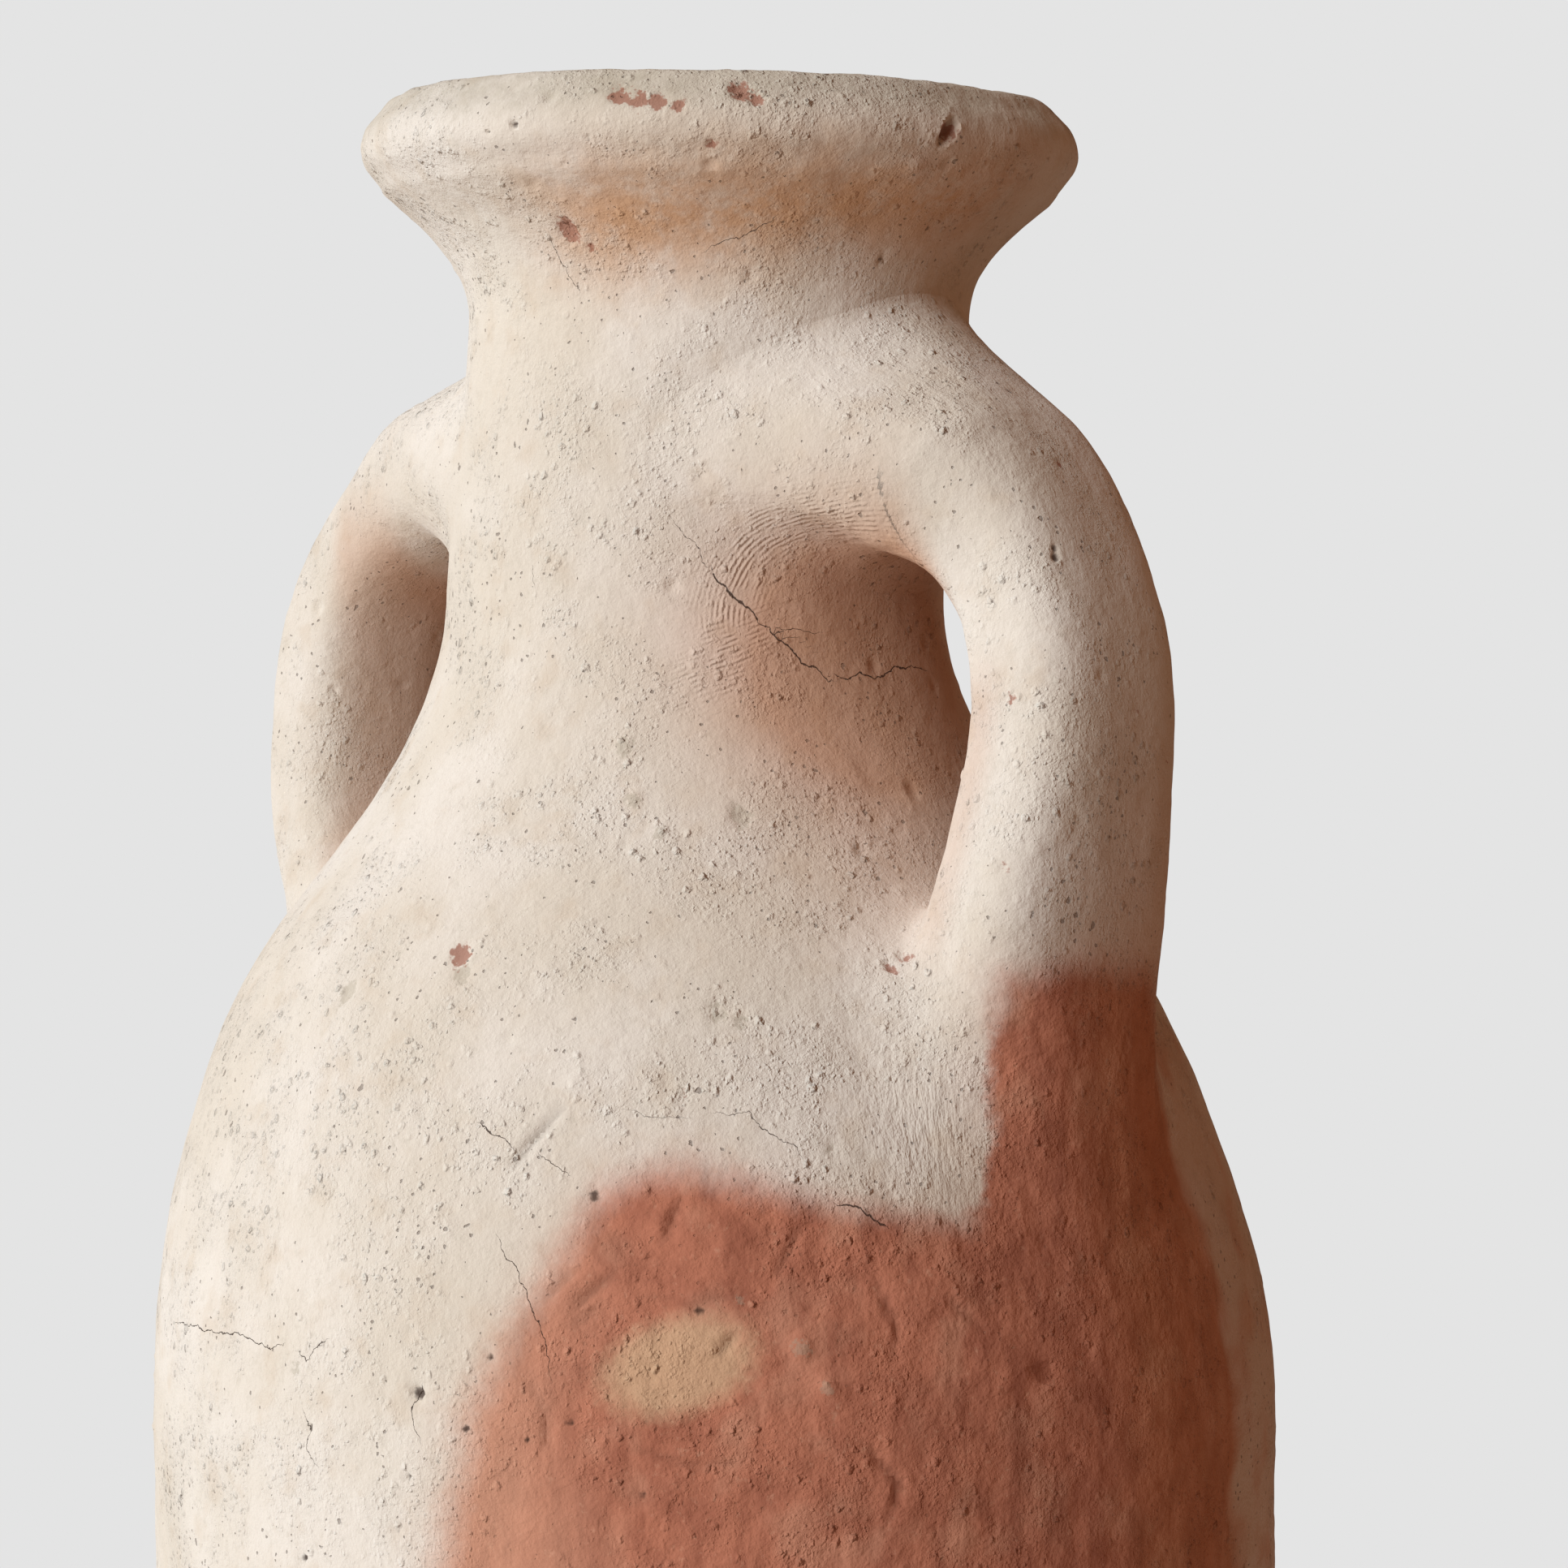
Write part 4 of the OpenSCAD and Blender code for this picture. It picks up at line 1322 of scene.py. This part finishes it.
@dataclass(frozen=True)
class BareClay:
    """Unglazed clay that no bloom reached, on the coils inside the jar.

    To the eye it is matt, warm red and slightly dusty, with grit and faint throwing rings.
    """

    name: str
    clay: str
    dust: str
    roughness: float = 0.92

    def make(self) -> bpy.types.Material:
        """Build the material: mottled clay under thin dust, with grit and throwing lines."""
        material = bpy.data.materials.new(self.name)
        s = NodeSheet(material)
        mid, fine = s.grain(9, 3), s.grain(1.6, 3, 0.65)
        colour = s.blend(s.ramp(mid, 0.35, 0.7, 0.1, 0.8), linear(self.clay), linear(self.dust))
        colour = s.blend(s.math("MULTIPLY", s.ramp(fine, 0.5, 0.75), 0.4), colour, linear(self.dust))
        rings = s.grain(2.4, 2, 0.5, (0.05, 0.05, 1.0))
        height = s.math("ADD", s.math("MULTIPLY", fine, 0.3), s.math("MULTIPLY", rings, 0.4))
        normal = s.add("Bump", {"Height": height, "Distance": MM, "Strength": 1.0})
        inputs = {"Base Color": colour, "Roughness": self.roughness, "Normal": normal}
        surface = s.add("BsdfPrincipled", inputs)
        s.add("OutputMaterial", {"Surface": surface})
        return material


@dataclass(frozen=True)
class StudioFloor:
    """Matt painted board, which gives the eye an even pale ground without gloss."""

    name: str = "matt_painted_board"
    paint: str = "d6d0c8"

    def make(self) -> bpy.types.Material:
        """Build the material: even paint with a faint roller texture."""
        material = bpy.data.materials.new(self.name)
        s = NodeSheet(material)
        colour = s.blend(s.ramp(s.grain(60, 2), 0.3, 0.7, 0.0, 0.1), linear(self.paint), linear("d2d0cc"))
        normal = s.add("Bump", {"Height": s.grain(1.2), "Distance": 0.05 * MM, "Strength": 0.4})
        surface = s.add("BsdfPrincipled", {"Base Color": colour, "Roughness": 0.8, "Normal": normal})
        s.add("OutputMaterial", {"Surface": surface})
        return material


# ----------------------------------------------------------------------------- studio


@dataclass(frozen=True)
class Studio:
    """The camera, the one large soft light, the warm dim surroundings and the pale floor.

    Camera lengths are in millimetres, the light's and the floor's in metres, angles in degrees.
    """

    camera_azimuth: float = 41.0
    camera_distance: float = 667.5
    camera_height: float = 324.5
    pitch: float = 1.5
    lens_shift: tuple[float, float] = (0.0419, -0.0750)
    focal: float = 93.17
    light_azimuth: float = -97.5
    light_elevation: float = 18.0
    light_distance: float = 1.6
    light_size: tuple[float, float] = (1.3, 1.2)
    light_power: float = 30.5
    light_tint: tuple[float, float, float] = (0.87, 0.95, 1.0)
    surround: tuple[float, float, float] = (0.20, 0.098, 0.055)
    backdrop: str = "e4e4e4"
    floor_radius: float = 0.5

    def set_up(self) -> None:
        """Place everything and make the camera current."""
        scene = bpy.context.scene
        scene.view_settings.view_transform = "Standard"
        self._camera(scene)
        self._light(scene)
        self._world(scene)
        self._floor(scene)

    def _camera(self, scene: bpy.types.Scene) -> None:
        """Stand the camera off the jar, with its lens shifted a little right and down."""
        lens = bpy.data.cameras.new("studio_camera")
        lens.lens, lens.sensor_width = self.focal, 36.0
        lens.shift_x, lens.shift_y = self.lens_shift
        camera = bpy.data.objects.new("studio_camera", lens)
        a = math.radians(self.camera_azimuth)
        place = Vector((math.sin(a), -math.cos(a), 0)) * self.camera_distance
        camera.location = (place + Vector((0, 0, self.camera_height))) * MM
        camera.rotation_euler = (math.radians(90 - self.pitch), 0, a)
        scene.collection.objects.link(camera)
        scene.camera = camera

    def _light(self, scene: bpy.types.Scene) -> None:
        """Hang a large softbox that faces the jar's shoulder."""
        lamp = bpy.data.lights.new("softbox", "AREA")
        lamp.shape, lamp.size, lamp.size_y = "RECTANGLE", *self.light_size
        lamp.energy = self.light_power
        lamp.color = self.light_tint
        box = bpy.data.objects.new("softbox", lamp)
        a, e = math.radians(self.light_azimuth), math.radians(self.light_elevation)
        aim = Vector((0, 0, 0.28))
        toward = Vector((math.cos(e) * math.cos(a), math.cos(e) * math.sin(a), math.sin(e)))
        box.location = aim + toward * self.light_distance
        box.rotation_euler = toward.to_track_quat("Z", "Y").to_euler()
        scene.collection.objects.link(box)

    def _world(self, scene: bpy.types.Scene) -> None:
        """Light the jar with dim warm surroundings, and show the camera an even pale backdrop."""
        world = bpy.data.worlds.new("surroundings")
        s = NodeSheet(world)
        seen = s.add("LightPath", output="Is Camera Ray")
        colour = s.blend(seen, (*self.surround, 1.0), linear(self.backdrop))
        light = s.add("Background", {"Color": colour, "Strength": 1.0})
        s.add("OutputWorld", {"Surface": light})
        scene.world = world

    def _floor(self, scene: bpy.types.Scene) -> None:
        """Lay a round pale board under the jar: rings of places at sine and cosine steps."""
        rim = np.linspace(0, 2 * np.pi, 96, endpoint=False)
        ring = np.stack([np.cos(rim), np.sin(rim)], -1) * self.floor_radius
        thick = 0.004
        top = np.column_stack([ring, np.zeros(96)])
        under = np.column_stack([ring, np.full(96, -thick)])
        step = np.arange(96)
        after = np.roll(step, -1)
        sides = np.stack([step + 96, after + 96, after, step], -1).tolist()
        mesh = bpy.data.meshes.new("floor")
        faces = [step.tolist(), (step[::-1] + 96).tolist(), *sides]
        mesh.from_pydata(np.vstack([top, under]).tolist(), [], faces)
        mesh.materials.append(StudioFloor().make())
        floor = bpy.data.objects.new("floor", mesh)
        scene.collection.objects.link(floor)


# ----------------------------------------------------------------------------- the whole jar


def main() -> None:
    """Build every piece of clay, finish it, tie it to the frame and light it."""
    logging.basicConfig(level=logging.INFO, format="%(message)s")
    shape = JarShape.from_frame()
    weathering = Weathering(shape)
    settle = HandMadeSettle()
    finishes = {
        "bloomed_clay": BloomedEarthenware().make(),
        "base_clay": BloomedEarthenware(name="earthenware_worn_foot").make(),
        "inner_clay": BareClay("unglazed_inner_clay", "a8634a", "cfae93").make(),
    }
    pieces = JarBody(shape).pieces()
    right = Handle(Side.RIGHT, shape)
    left = Handle(
        Side.LEFT, shape, tuck=11.4, arch_start=345.9, arch_rise=(14.5, 330.0), arch_crown=331.4,
        half_thick=9.6, half_wide=14.9, root_flare=(7.7, 9.0), twist=-12.0, turn_top=1.5, turn_low=3.2,
        neck_print=(339.9, 22.2, 36.0), neck_pull=(34.1, 9.0),
    )
    pieces += right.pieces() + left.pieces()
    for clay, node, slot in pieces:
        clay.weather(weathering, settle)
        piece = clay.build()
        piece.data.materials.append(finishes[slot])
        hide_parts(node)
        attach(piece, BODY)
        log.info("%s: %d faces for %s", piece.name, len(piece.data.polygons), node)
    Studio().set_up()


if __name__ == "__main__":
    main()
